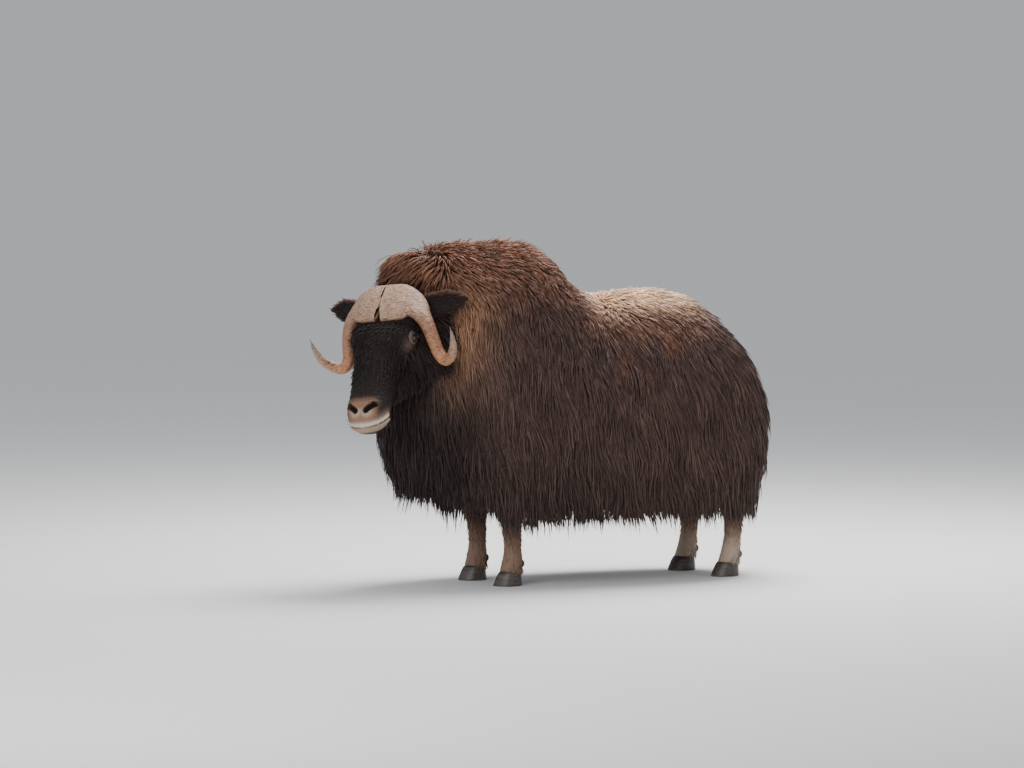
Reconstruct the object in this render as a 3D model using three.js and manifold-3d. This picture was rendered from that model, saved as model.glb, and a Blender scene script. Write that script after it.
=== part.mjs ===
// A bull muskox standing on all four feet with its head turned to its left, life size.
// Millimetres, +X towards the head, +Y the animal's left, +Z up, origin on the ground under its middle.
import * as THREE from "three";
import { mergeVertices } from "three/addons/utils/BufferGeometryUtils.js";
import Module from "manifold-3d";

const wasm = await Module();
wasm.setup();

// Driving dimensions
const GAP = 0.4; // clearance between one node and the next
const LEAF_GAP = 2; // the same round the thin leaf of an ear
const END_INSET = 55; // from the coat's tips in to the core, at the chest and rump
const SIDE_INSET = 50; // the same on the flanks
const HEAD_YAW = 38; // degrees the head turns to the animal's left
const HEAD_ROLL = 6; // degrees its right side hangs lower
const FACE_PITCH = 61; // degrees the line of the face slopes down
const COAT_SMOOTHING = 2; // details of the crossing locks under this size are merged
const NODE_SMOOTHING = 0.1; // the same for slivers along the cuts of a node
const PARTING_FOOT = [1080, 150, 1149]; // foot of the groove between the horns, where the head's frame stands
const EYE = [50, 136, -96]; // in the head's frame
const EYE_RADIUS = 19;
const PARTING = 3.5; // half the groove between the two horn bosses
const HOOF_HEIGHT = 62;
const CLEFT = 3; // half the gap between the claws of a foot
const FEET = {
  leg_front_left: { leg: "front", at: [446, 150] },
  leg_front_right: { leg: "front", at: [474, -150] },
  leg_hind_left: { leg: "hind", at: [-590, 160] },
  leg_hind_right: { leg: "hind", at: [-540, -160] },
};
const SEAMS = [
  { x: -340, yaw: 0 }, // rump and barrel
  { x: 120, yaw: 2 }, // barrel and shoulders
  { x: 640, yaw: 12 }, // shoulders and neck
];

const rad = THREE.MathUtils.degToRad;
const lerp = THREE.MathUtils.lerp;
const power = (x, n) => Math.sign(x) * Math.abs(x) ** n;
const mound = (distance, spread) => Math.exp(-(distance * distance) / (2 * spread * spread));

const finish = (color, roughness) => new THREE.MeshStandardMaterial({ color, roughness, metalness: 0 });
const MATERIALS = {
  coat: finish(0x2d201c, 0.9),
  mane: finish(0x5f4130, 0.9),
  face: finish(0x1d1613, 0.9),
  legs: finish(0x7d6455, 0.9),
  horn: finish(0x96735f, 0.5),
  hoof: finish(0x2b2622, 0.5),
  eye: finish(0x120b08, 0.1),
};

// A smooth function through a table of [key, value] pairs, with no overshoot between them.
function through(table) {
  const keys = table.map((pair) => pair[0]);
  const values = table.map((pair) => pair[1]);
  const last = keys.length - 1;
  const slope = (i) => (values[i + 1] - values[i]) / (keys[i + 1] - keys[i]);
  const tangent = keys.map((_, i) => {
    if (i === 0 || i === last) return slope(i === 0 ? 0 : last - 1);
    const product = slope(i - 1) * slope(i);
    return product <= 0 ? 0 : (2 * product) / (slope(i - 1) + slope(i));
  });
  return (x) => {
    if (x <= keys[0]) return values[0];
    if (x >= keys[last]) return values[last];
    const i = keys.findIndex((key) => key > x) - 1;
    const span = keys[i + 1] - keys[i];
    const s = (x - keys[i]) / span;
    const ease = s * s * (3 - 2 * s);
    const swell = span * s * (1 - s) * (tangent[i] * (1 - s) - tangent[i + 1] * s);
    return lerp(values[i], values[i + 1], ease) + swell;
  };
}

// Solids

function solidOf(geometry) {
  const bare = geometry.clone();
  bare.deleteAttribute("normal");
  bare.deleteAttribute("uv");
  const merged = mergeVertices(bare, 1e-3);
  const vertProperties = merged.attributes.position.array;
  const corners = merged.index.array;
  const triVerts = [];
  for (let i = 0; i < corners.length; i += 3) {
    const [a, b, c] = corners.slice(i, i + 3);
    if (a !== b && b !== c && a !== c) triVerts.push(a, b, c);
  }
  const manifold = (order) =>
    new wasm.Manifold(new wasm.Mesh({ numProp: 3, vertProperties, triVerts: new Uint32Array(order) }));
  const made = manifold(triVerts);
  return made.volume() > 0 ? made : manifold(triVerts.reverse());
}

const join = (solids) => wasm.Manifold.union(solids);
const largest = (solid) => solid.decompose().reduce((a, b) => (a.volume() > b.volume() ? a : b));

function geometryOf(solid) {
  const { vertProperties, triVerts } = solid.getMesh();
  const geometry = new THREE.BufferGeometry();
  geometry.setAttribute("position", new THREE.BufferAttribute(new Float32Array(vertProperties), 3));
  geometry.setIndex(new THREE.BufferAttribute(triVerts, 1));
  return geometry;
}

function meshOf(name, solid, material) {
  const mesh = new THREE.Mesh(geometryOf(largest(solid).simplify(NODE_SMOOTHING)), material);
  mesh.name = name;
  return mesh;
}

// A solid with every vertex moved out along its normal.
function grown(solid, gap) {
  const geometry = geometryOf(solid);
  geometry.computeVertexNormals();
  const { position, normal } = geometry.attributes;
  for (let i = 0; i < position.count; i++) {
    const [x, y, z] = [0, 1, 2].map((k) => position.getComponent(i, k) + gap * normal.getComponent(i, k));
    position.setXYZ(i, x, y, z);
  }
  return solidOf(geometry);
}

// A closed tube whose every vertex is put where place(t, angle, rim) says: t runs 0 to 1 along it,
// and rim is 1 on its side and 0 at the middle of its two ends.
function sheath(around, along, place) {
  const geometry = new THREE.CylinderGeometry(1, 1, 1, around, along);
  const position = geometry.attributes.position;
  const p = new THREE.Vector3();
  for (let i = 0; i < position.count; i++) {
    p.fromBufferAttribute(position, i);
    const rim = Math.hypot(p.x, p.z) > 0.5 ? 1 : 0;
    const moved = place(0.5 - p.y, Math.atan2(p.x, p.z), rim);
    position.setXYZ(i, moved.x, moved.y, moved.z);
  }
  return solidOf(geometry);
}

function ellipsoid(radii, at, turn = [0, 0, 0], detail = [12, 8]) {
  const geometry = new THREE.SphereGeometry(1, ...detail);
  const rotation = new THREE.Quaternion().setFromEuler(new THREE.Euler(...turn.map(rad)));
  const matrix = new THREE.Matrix4();
  matrix.compose(new THREE.Vector3(...at), rotation, new THREE.Vector3(...radii));
  return solidOf(geometry.applyMatrix4(matrix));
}

// The coat of body and neck: level runs from the hem (0) to the spine (1), turn round the plan from the
// chest (0) by the left side, and share from the core (0) to the tips (1).

const SPINE = through([
  [-360, 1235], [-260, 1247], [-120, 1242], [20, 1229], [80, 1250], [160, 1305], [200, 1362],
  [260, 1420], [330, 1456], [440, 1463], [730, 1463], [840, 1466], [960, 1440],
]);
const SPINE_INSET = through([[-360, 25], [50, 25], [250, 52], [800, 55]]);
const HEM = through([[-500, 280], [-100, 285], [300, 270], [550, 252], [650, 325], [800, 360], [920, 410]]);
const CORE_HEM = through([[450, 440], [650, 490], [900, 560]]);
const HALF_WIDTH = through([
  [-800, 440], [-600, 410], [-400, 400], [0, 390], [450, 385], [650, 375], [850, 380],
]);
const THROAT = { level: 0.66, spread: 0.18, share: through([[600, 0], [800, 0.3], [900, 0.4]]) };
const REAR_LINE = through([
  [0, -735], [0.115, -755], [0.24, -785], [0.44, -790], [0.607, -750],
  [0.712, -700], [0.803, -630], [0.896, -540], [0.963, -460], [1, -360],
]);
const FRONT_LINE = through([
  [0, 860], [0.13, 905], [0.3, 930], [0.45, 935], [0.6, 925],
  [0.75, 935], [0.84, 945], [0.925, 925], [0.98, 880], [1, 810],
]);
const TUCK = through([[0, 0.87], [0.2, 0.96], [0.45, 1]]);
const NECK_TURN = through([[480, 0], [950, 0.42]]); // how far the front of the neck is slanted to the left
const CHEST_TURN = through([[0, 0.2], [0.5, 1]]); // share of that slant by level
const ROUNDNESS = 3.6; // of the section across the back

function coatPoint(level, turn, share) {
  const inset = 1 - share;
  const rear = REAR_LINE(level) + END_INSET * inset;
  const front = FRONT_LINE(level) - END_INSET * inset;
  const blunt = Math.cos(turn) > 0 ? 0.58 : 0.75;
  const x = lerp(rear, front, (1 + power(Math.cos(turn), blunt)) / 2);
  const pinch = 1 - THROAT.share(x) * mound(level - THROAT.level, THROAT.spread);
  const arch = Math.sqrt(1 - Math.max(level, 0) ** ROUNDNESS);
  const half = (HALF_WIDTH(x) * pinch - SIDE_INSET * inset) * arch * TUCK(level);
  const y = power(Math.sin(turn), 0.62) * half;
  const bottom = lerp(CORE_HEM(x), HEM(x), share);
  const top = SPINE(x) - SPINE_INSET(x) * inset;
  return new THREE.Vector3(x - y * NECK_TURN(x) * CHEST_TURN(level), y, lerp(bottom, top, level));
}

// The turn reached after a share of the walk round the coat, so that steps are alike in length.
function makeStride(samples = 240, level = 0.4) {
  const table = [[0, 0]];
  for (let i = 1; i <= samples; i++) {
    const [before, now] = [i - 1, i].map((k) => (k / samples) * 2 * Math.PI);
    const step = coatPoint(level, now, 1).distanceTo(coatPoint(level, before, 1));
    table.push([table[i - 1][0] + step, now]);
  }
  const whole = table[samples][0];
  const turnAt = through(table);
  return (round) => turnAt((round - Math.floor(round)) * whole);
}
const stride = makeStride();

// The closed form of the coat at one share of its depth, its rings zipped shut along the spine and below.
function coatSolid(share, around, levels) {
  const rings = levels + 1;
  const points = [];
  for (let j = 0; j < rings; j++) {
    const level = 0.997 * Math.sin(((j / levels) * Math.PI) / 2);
    for (let i = 0; i < around; i++) points.push(...coatPoint(level, stride(i / around), share).toArray());
  }
  const index = [];
  const quad = (a, b, c, d) => index.push(a, b, c, a, c, d);
  for (let j = 0; j < levels; j++) {
    for (let i = 0; i < around; i++) {
      const next = (i + 1) % around;
      quad(j * around + i, j * around + next, (j + 1) * around + next, (j + 1) * around + i);
    }
  }
  for (let i = 0; i < around / 2; i++) {
    const [far, farther] = [(around - i) % around, around - i - 1];
    const top = levels * around;
    quad(top + i, top + i + 1, top + farther, top + far);
    quad(i + 1, i, far, farther);
  }
  const geometry = new THREE.BufferGeometry();
  geometry.setAttribute("position", new THREE.Float32BufferAttribute(points, 3));
  geometry.setIndex(index);
  return solidOf(geometry);
}

// Locks: flat and tapered, sunk into the core at the root and bending out to the tips of the coat

function seeded(state) {
  return () => {
    state = (state * 1664525 + 1013904223) % 4294967296;
    return state / 4294967296;
  };
}
const draw = seeded(29);
const vary = (range) => (2 * draw() - 1) * range;

const LOCK_WIDTH = through([[0, 0.6], [0.35, 1], [0.7, 0.86], [1, 0.06]]);
const LOCK_THICK = through([[0, 0.8], [0.4, 1], [0.8, 0.7], [1, 0.12]]);
const LOCK_RISE = through([[0, -0.6], [0.3, 0.3], [0.65, 0.72], [1, 0.95]]);

function lockSolid(path, outward, half, thick, steps = 3) {
  return sheath(4, steps, (t, angle, rim) => {
    const [before, after] = [Math.max(t - 0.02, 0), Math.min(t + 0.02, 1)];
    const tangent = path(after).sub(path(before)).normalize();
    const normal = outward(t);
    normal.addScaledVector(tangent, -normal.dot(tangent)).normalize();
    const wide = new THREE.Vector3().crossVectors(tangent, normal);
    const p = path(t).addScaledVector(wide, Math.cos(angle) * half * LOCK_WIDTH(t) * rim);
    return p.addScaledVector(normal, Math.sin(angle) * thick * LOCK_THICK(t) * rim);
  });
}

function coatNormal(level, turn) {
  const step = 0.02;
  const across = coatPoint(level, turn + step, 1).sub(coatPoint(level, turn - step, 1));
  const up = coatPoint(level + step, turn, 1).sub(coatPoint(level - step, turn, 1));
  return across.cross(up).normalize();
}

// Rows of locks round the coat, from the spine down: level of the roots, fall to the tips, drift to the rear.
const ROWS = [
  { root: 0.93, fall: 0.36, drift: 0.05, count: 18 },
  { root: 0.69, fall: 0.36, drift: 0.03, count: 19 },
  { root: 0.44, fall: 0.42, drift: 0.02, count: 20 },
  { root: 0.26, fall: 0.25, drift: 0.01, count: 19 },
];
const LOCK_HALF = 110;
const LOCK_DEPTH = 15;

function rowLocks({ root, fall, drift, count }, row) {
  return Array.from({ length: count }, (_, i) => {
    const start = (i + (row % 2) / 2 + vary(0.16)) / count;
    const [top, drop] = [root + vary(0.02), fall * (1 + vary(0.08))];
    const sweep = drift * Math.sin(2 * Math.PI * start) + vary(0.006);
    const place = (t) => [top - drop * t, stride(start + sweep * t ** 1.5)];
    const half = LOCK_HALF * (1 + vary(0.14));
    const path = (t) => coatPoint(...place(t), LOCK_RISE(t));
    return lockSolid(path, (t) => coatNormal(...place(t)), half, LOCK_DEPTH);
  });
}

// Locks along the spine, lying to the rear one over another.
const CREST = { from: 830, to: -110, count: 10, length: 270, offset: 50, half: 84 };

function crestLocks() {
  return Array.from({ length: CREST.count }, (_, i) => {
    const start = lerp(CREST.from, CREST.to, i / (CREST.count - 1)) + vary(12);
    const aside = CREST.offset * ((i % 3) - 1) + vary(8);
    const path = (t) => {
      const x = start - CREST.length * t;
      return new THREE.Vector3(x, aside, SPINE(x) - SPINE_INSET(x) * (1 - LOCK_RISE(t)) - LOCK_DEPTH / 2);
    };
    return lockSolid(path, () => new THREE.Vector3(0, 0, 1), CREST.half, LOCK_DEPTH);
  });
}

// Head, in its own frame: x down the line of the face, y left, z out of it, from the foot of the parting

const HEAD_TOP = through([
  [-205, -150], [-190, -118], [-120, -72], [-40, -44], [0, -26], [30, -8], [60, 0], [150, 6], [300, 8],
  [370, 4], [410, -2], [440, -10], [468, -24], [483, -42], [492, -60],
]);
const HEAD_BOTTOM = through([
  [-205, -185], [-190, -205], [-100, -238], [0, -252], [60, -250], [150, -226], [250, -188], [350, -164],
  [410, -152], [440, -144], [468, -127], [483, -105], [492, -78],
]);
const HEAD_HALF = through([
  [-205, 70], [-190, 105], [-120, 138], [0, 138], [60, 130], [150, 108], [250, 92], [330, 86], [400, 87],
  [440, 79], [468, 61], [483, 42], [492, 14],
]);
const HEAD_WIDEST = through([
  [-205, -165], [-120, -140], [0, -115], [100, -105], [250, -88], [400, -66], [492, -68],
]);
const HEAD_ENDS = [-205, 492];

// Brows, cheeks and lips, raised over the plain form of the head.
const RELIEF = [
  { at: [EYE[0] - 6, EYE[2] + 4], rise: 14, spread: 34, fade: 100 }, // brow and orbit
  { at: [70, -190], rise: 9, spread: 55, fade: 80 }, // cheek
  { at: [165, -60], rise: -9, spread: 42, fade: 60 }, // hollow before the eye
];
const LIP = { at: [440, -77], way: [0.65, -0.76], out: 12, rise: 7, spread: 10, middle: 430, reach: 45 };
const NOSE = { at: [392, -8], rise: 6, spread: 26, side: 38, width: 30 };

function headRelief(x, y, z) {
  const side = Math.abs(y);
  const swellings = RELIEF.map(
    ({ at, rise, spread, fade }) =>
      rise * mound(Math.hypot(x - at[0], z - at[1]), spread) * Math.min(1, side / fade),
  );
  const beyondLip = (x - LIP.at[0]) * LIP.way[0] + (z - LIP.at[1]) * LIP.way[1] - LIP.out;
  const lip = LIP.rise * mound(beyondLip, LIP.spread) * mound(x - LIP.middle, LIP.reach);
  const bridge = mound(Math.hypot(x - NOSE.at[0], z - NOSE.at[1]), NOSE.spread);
  const nose = NOSE.rise * bridge * mound(side - NOSE.side, NOSE.width);
  return swellings.reduce((sum, swell) => sum + swell, lip + nose);
}

function headPoint(x, angle, rim = 1, grow = 0) {
  const [c, v] = [power(Math.cos(angle), 0.88), power(Math.sin(angle), 0.88)];
  const middle = HEAD_WIDEST(x);
  const y = HEAD_HALF(x) * c * rim;
  const z = middle + (v > 0 ? HEAD_TOP(x) - middle : middle - HEAD_BOTTOM(x)) * v * rim;
  const push = (headRelief(x, y, z) + grow) * rim;
  return new THREE.Vector3(x, y + push * c, z + push * v);
}

function headSolid(grow, around = 22, along = 20) {
  return sheath(around, along, (t, angle, rim) => {
    const bunched = lerp(t, (1 - Math.cos(Math.PI * t)) / 2, 0.7);
    const point = headPoint(lerp(...HEAD_ENDS, bunched), angle, rim, grow);
    point.x += t < 0.01 ? -grow : t > 0.99 ? grow : 0;
    return point;
  });
}

const eyeSolid = (side, grow) => {
  const radius = EYE_RADIUS + grow;
  return ellipsoid([radius, radius, radius], [EYE[0], side * EYE[1], EYE[2]], [90, 0, 0], [12, 8]);
};

// The two lids of an eye as one padded rim, the upper one heavier, that wraps over the ball at its corners.
const LID = { long: 25, high: 17, pad: 7, upper: 1.2, lower: 0.9, out: 15, wrap: 9 };

function lidSolid(side) {
  const geometry = new THREE.TorusGeometry(1, 0.5, 5, 16);
  const position = geometry.attributes.position;
  for (let i = 0; i < position.count; i++) {
    const [px, py, pz] = [position.getX(i), position.getY(i), position.getZ(i)];
    const round = Math.atan2(py, px);
    const out = (Math.hypot(px, py) - 1) * 2;
    const thick = LID.pad * (Math.sin(round) > 0 ? LID.upper : LID.lower);
    position.setXYZ(
      i,
      EYE[0] - Math.sin(round) * (LID.high + out * thick),
      side * (EYE[1] + LID.out + pz * 2 * thick - Math.abs(Math.cos(round)) * LID.wrap),
      EYE[2] + Math.cos(round) * (LID.long + out * thick),
    );
  }
  return solidOf(geometry);
}

// The two pits that make one nostril: the wide one beside the nose and the slit that curls in below it.
const NOSTRIL = [
  { x: 384, angle: 38, radii: [17, 12, 12] },
  { x: 412, angle: 62, radii: [20, 9, 8] },
];
const NOSTRIL_TURN = [-25, -35]; // degrees about y and z

function nostrilSolid(side) {
  const pits = NOSTRIL.map(({ x, angle, radii }) => {
    const p = headPoint(x, rad(angle));
    return ellipsoid(radii, [p.x, side * p.y, p.z], [0, NOSTRIL_TURN[0], side * NOSTRIL_TURN[1]], [8, 6]);
  });
  return join(pits);
}

// The line of the mouth: a thin slanting plate that stops a little way in under the skin.
const MOUTH_CORNER = [400, -110];
const MOUTH_SLOPE = 40; // degrees between the mouth and the line of the face
const MOUTH_DEPTH = 9;
const MOUTH_PLATE = [130, 260, 4];

function mouthSolid() {
  const plate = new THREE.BoxGeometry(...MOUTH_PLATE);
  plate.translate(MOUTH_PLATE[0] / 2, 0, 0);
  plate.rotateY(rad(-MOUTH_SLOPE));
  plate.translate(MOUTH_CORNER[0], 0, MOUTH_CORNER[1]);
  return solidOf(plate).subtract(headSolid(-MOUTH_DEPTH));
}

// Short locks of the head, hanging from cheek and jaw and down the forehead from under the horns.
const HEAD_LOCKS = [
  { from: -50, to: 230, count: 4, angle: -48, length: 130, half: 42 },
  { from: -70, to: 90, count: 3, angle: -14, length: 105, half: 38 },
];
const HANG = new THREE.Vector3(0.87, 0, -0.49); // straight down, in the head's frame
const HEAD_LOCK = { sunk: 14, lift: 16, droop: 0.3, depth: 9 };

function hangingLock(x, angle, side, length, half) {
  const root = headPoint(x, rad(angle));
  const out = new THREE.Vector3(0, Math.cos(rad(angle)), Math.sin(rad(angle)));
  const mirror = (v) => new THREE.Vector3(v.x, side * v.y, v.z);
  const path = (t) => {
    const p = root.clone().addScaledVector(HANG, length * t);
    const lift = lerp(-HEAD_LOCK.sunk, HEAD_LOCK.lift, t * (2 - t)) * (1 - HEAD_LOCK.droop * t);
    return mirror(p.addScaledVector(out, lift));
  };
  return lockSolid(path, () => mirror(out), half, HEAD_LOCK.depth);
}

function headLocks() {
  return HEAD_LOCKS.flatMap(({ from, to, count, angle, length, half }) =>
    sides.flatMap(([, side]) =>
      Array.from({ length: count }, (_, i) => {
        const x = lerp(from, to, i / (count - 1)) + vary(8);
        return hangingLock(x, angle + vary(5), side, length * (1 + vary(0.15)), half);
      }),
    ),
  );
}

// Ears: a cupped leaf, its hollow turned forward

const EAR_ROOT = new THREE.Vector3(-98, 118, -122);
const EAR_TIP = new THREE.Vector3(-159, 312, -171);
const EAR_HALF = through([[0, 26], [0.3, 44], [0.6, 43], [0.85, 26], [1, 5]]);
const EAR_CUP = through([[0, 14], [0.4, 24], [0.8, 14], [1, 2]]);
const EAR_THICK = through([[0, 13], [0.3, 8], [1, 4]]);
const EAR_HOLLOW = new THREE.Vector3(0.55, 0.1, 0.83);

function earSolid(side) {
  const axis = EAR_TIP.clone().sub(EAR_ROOT).normalize();
  const hollow = EAR_HOLLOW.clone();
  hollow.addScaledVector(axis, -hollow.dot(axis)).normalize();
  const wide = new THREE.Vector3().crossVectors(axis, hollow);
  return sheath(10, 6, (t, angle, rim) => {
    const [c, v] = [Math.cos(angle) * rim, power(Math.sin(angle), 0.6) * rim];
    const p = EAR_ROOT.clone().lerp(EAR_TIP, t);
    p.addScaledVector(wide, c * EAR_HALF(t));
    p.addScaledVector(hollow, (c * c - 1) * EAR_CUP(t) + v * EAR_THICK(t));
    p.y *= side;
    return p;
  });
}

// Horns: a broad flat boss at the midline that narrows down the side of the face and hooks out and up

const HORN_PATH = [
  [-101, 0, -50], [-104, 50, -52], [-102, 98, -62], [-88, 138, -82], [-54, 168, -102], [-10, 190, -132],
  [35, 203, -166], [77, 217, -200], [104, 243, -212], [106, 282, -190], [92, 316, -142], [66, 331, -98],
  [34, 337, -54],
];
const HORN_HALF = through([
  [0, 102], [0.12, 98], [0.2, 82], [0.28, 58], [0.36, 42],
  [0.5, 36], [0.65, 32], [0.8, 25], [0.92, 14], [1, 3],
]);
const HORN_THICK = through([
  [0, 30], [0.12, 33], [0.25, 34], [0.4, 32], [0.6, 29], [0.8, 22], [0.92, 13], [1, 3],
]);
const BOSS_WAY = new THREE.Vector3(0.97, 0, 0.235);
const SHANK_WAY = new THREE.Vector3(0.75, 0.3, 0.6);

function hornSolid(side, grow, around = 12, along = 18) {
  const stations = HORN_PATH.map((p) => new THREE.Vector3(...p));
  const curve = new THREE.CatmullRomCurve3(stations, false, "centripetal");
  return sheath(around, along, (t, angle, rim) => {
    const p = curve.getPointAt(t);
    const tangent = curve.getTangentAt(t);
    const wide = BOSS_WAY.clone().lerp(SHANK_WAY, THREE.MathUtils.smoothstep(t, 0.15, 0.45));
    wide.addScaledVector(tangent, -wide.dot(tangent)).normalize();
    const thick = new THREE.Vector3().crossVectors(tangent, wide);
    p.addScaledVector(wide, power(Math.cos(angle), 0.9) * (HORN_HALF(t) + grow) * rim);
    p.addScaledVector(thick, power(Math.sin(angle), 0.8) * (HORN_THICK(t) + grow) * rim);
    const inner = PARTING - grow;
    p.y = side * (t < 0.01 ? inner : Math.max(p.y, inner + t));
    return p;
  });
}

// Legs: upright stacks of oval sections with a pair of dewclaws, and two claws under each

const LEGS = {
  front: {
    x: through([[58, 4], [110, -4], [170, -6], [260, -2], [335, 4], [400, -2], [560, -14]]),
    long: through([[58, 44], [78, 45], [112, 42], [170, 35], [260, 38], [335, 48], [400, 54], [560, 84]]),
    wide: through([[58, 42], [78, 42], [112, 39], [170, 33], [260, 35], [335, 43], [400, 46], [560, 62]]),
  },
  hind: {
    x: through([[58, 8], [112, -6], [180, -14], [280, -22], [350, -30], [420, -20], [500, 2], [560, 20]]),
    long: through([[58, 42], [78, 43], [112, 41], [180, 35], [280, 39], [350, 49], [420, 60], [560, 106]]),
    wide: through([[58, 41], [78, 41], [112, 38], [180, 32], [280, 34], [350, 38], [420, 46], [560, 66]]),
  },
};
const LEG_TOP = 570;
const DEWCLAW = { behind: 44, aside: 20, high: 92, radii: [15, 12, 20], lean: 20 };

function legSolid(leg, at, grow, around = 10, along = 9) {
  const stem = sheath(around, along, (t, angle, rim) => {
    const z = lerp(LEG_TOP, HOOF_HEIGHT, t ** 0.8);
    return new THREE.Vector3(
      at[0] + leg.x(z) + Math.cos(angle) * (leg.long(z) + grow) * rim,
      at[1] + Math.sin(angle) * (leg.wide(z) + grow) * rim,
      z + (t < 0.5 ? grow : -grow),
    );
  });
  const dewclaw = (side) => {
    const centre = [at[0] - DEWCLAW.behind, at[1] + side * DEWCLAW.aside, DEWCLAW.high];
    return ellipsoid(DEWCLAW.radii.map((radius) => radius + grow), centre, [0, DEWCLAW.lean, 0], [6, 4]);
  };
  return join([stem, dewclaw(1), dewclaw(-1)]);
}

// One claw: flat below, its outer wall curved and its inner wall straight beside the cleft.
const CLAW_LENGTH = through([[0, 64], [0.75, 52], [1, 45]]);
const CLAW_LEAN = through([[0, 16], [0.75, 7], [1, 3]]);
const CLAW_BREADTH = through([[0, 52], [0.75, 45], [1, 40]]);

function clawSolid(at, outward) {
  return sheath(12, 2, (t, angle, rim) => {
    const h = 1 - t;
    const [c, v] = [Math.cos(angle), Math.sin(angle)];
    const blunt = c > 0 ? 1 - 0.35 * c ** 3 : 1;
    const out = rim ? Math.max(0, v) * CLAW_BREADTH(h) * blunt : CLAW_BREADTH(h) / 3;
    return new THREE.Vector3(
      at[0] + CLAW_LEAN(h) + c * CLAW_LENGTH(h) * rim,
      at[1] + outward * (CLEFT + out),
      h * (HOOF_HEIGHT - GAP),
    );
  });
}

// Tail: a short flat dock that lies in the hair of the rump

const TAIL_ROOT = new THREE.Vector3(-735, 0, 815);
const TAIL_TIP = new THREE.Vector3(-808, 0, 640);
const TAIL_HALF = through([[0, 30], [0.4, 40], [0.8, 28], [1, 8]]);
const TAIL_THICK = 22;
const TAIL_BOW = 12;

function tailSolid(grow) {
  return sheath(8, 5, (t, angle, rim) => {
    const p = TAIL_ROOT.clone().lerp(TAIL_TIP, t);
    p.x += (Math.sin(angle) * (TAIL_THICK + grow) - TAIL_BOW * Math.sin(t * Math.PI)) * rim;
    p.y += Math.cos(angle) * (TAIL_HALF(t) + grow) * rim;
    p.z += t < 0.5 ? grow : -grow;
    return p;
  });
}

// Cuts

// A half space as a very large block: everything that lies on the normal's side of a point, from gap on.
const ENDLESS = 6000;

function beyond(point, normal, gap) {
  const block = new THREE.BoxGeometry(ENDLESS, ENDLESS, ENDLESS);
  block.translate(ENDLESS / 2 + gap, 0, 0);
  block.applyQuaternion(new THREE.Quaternion().setFromUnitVectors(new THREE.Vector3(1, 0, 0), normal));
  return solidOf(block.translate(...point.toArray()));
}

function seam({ x, yaw }) {
  const normal = new THREE.Vector3(Math.cos(rad(yaw)), Math.sin(rad(yaw)), 0);
  const point = new THREE.Vector3(x, 0, 0);
  return { ahead: beyond(point, normal, GAP / 2), behind: beyond(point, normal.clone().negate(), GAP / 2) };
}

// Assembly

const headFrame = new THREE.Group();
headFrame.position.set(...PARTING_FOOT);
headFrame.rotation.set(rad(HEAD_ROLL), 0, rad(HEAD_YAW), "ZXY");
headFrame.rotation.y = rad(FACE_PITCH);
headFrame.updateMatrix();
const toBody = (solid) => solid.transform(headFrame.matrix.elements);

// The room that belongs to the head, which the mane closes round: a box cut upright behind the skull.
const HEAD_ROOM = { size: [812, 330, 420], start: -212, middle: -62, back: [-205, 0, -60] };

function headRoom(grow) {
  const room = new THREE.BoxGeometry(...HEAD_ROOM.size.map((size) => size + 2 * grow));
  room.translate(HEAD_ROOM.size[0] / 2 + HEAD_ROOM.start, 0, HEAD_ROOM.middle);
  const level = new THREE.Vector3(Math.cos(rad(FACE_PITCH)), 0, Math.sin(rad(FACE_PITCH)));
  return solidOf(room).intersect(beyond(new THREE.Vector3(...HEAD_ROOM.back), level, -grow));
}

// The flesh that carries the head, from inside the core to inside the skull.
const NAPE = { from: [690, 30, 1010], to: [985, 85, 1075], half: [170, 115], high: [220, 125] };

function napeSolid() {
  const path = new THREE.LineCurve3(new THREE.Vector3(...NAPE.from), new THREE.Vector3(...NAPE.to));
  return sheath(14, 3, (t, angle, rim) => {
    const p = path.getPoint(t);
    p.y += Math.cos(angle) * lerp(...NAPE.half, t) * rim;
    p.z += Math.sin(angle) * lerp(...NAPE.high, t) * rim;
    return p;
  });
}

const SIDES = { left: 1, right: -1 };
const sides = Object.entries(SIDES);
const feet = Object.entries(FEET);

const headCuts = [
  mouthSolid(),
  ...sides.flatMap(([, side]) => [
    nostrilSolid(side),
    eyeSolid(side, GAP),
    hornSolid(side, GAP),
    grown(earSolid(side), LEAF_GAP),
  ]),
];
const head = join([headSolid(0), ...sides.map(([, side]) => lidSolid(side)), ...headLocks()]);
const locks = [...ROWS.flatMap(rowLocks), ...crestLocks()];
const coat = join([coatSolid(0, 28, 8), napeSolid(), ...locks]).simplify(COAT_SMOOTHING);
const whole = join([coat, toBody(head)])
  .subtract(toBody(join(headCuts)))
  .subtract(tailSolid(GAP));

const [hip, rib, neckSeam] = SEAMS.map(seam);
const sockets = feet.map(([, { leg, at }]) => legSolid(LEGS[leg], at, GAP));
const torso = whole.subtract(join([toBody(headRoom(GAP / 2)), ...sockets]));

const animal = new THREE.Group();
animal.add(meshOf("rump", torso.intersect(hip.behind), MATERIALS.coat));
animal.add(meshOf("barrel", torso.intersect(hip.ahead).intersect(rib.behind), MATERIALS.coat));
animal.add(meshOf("shoulders", torso.intersect(rib.ahead).intersect(neckSeam.behind), MATERIALS.mane));
animal.add(meshOf("neck", torso.intersect(neckSeam.ahead), MATERIALS.mane));
animal.add(meshOf("head", whole.intersect(toBody(headRoom(-GAP / 2))), MATERIALS.face));
animal.add(meshOf("tail", tailSolid(0), MATERIALS.coat));

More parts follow.
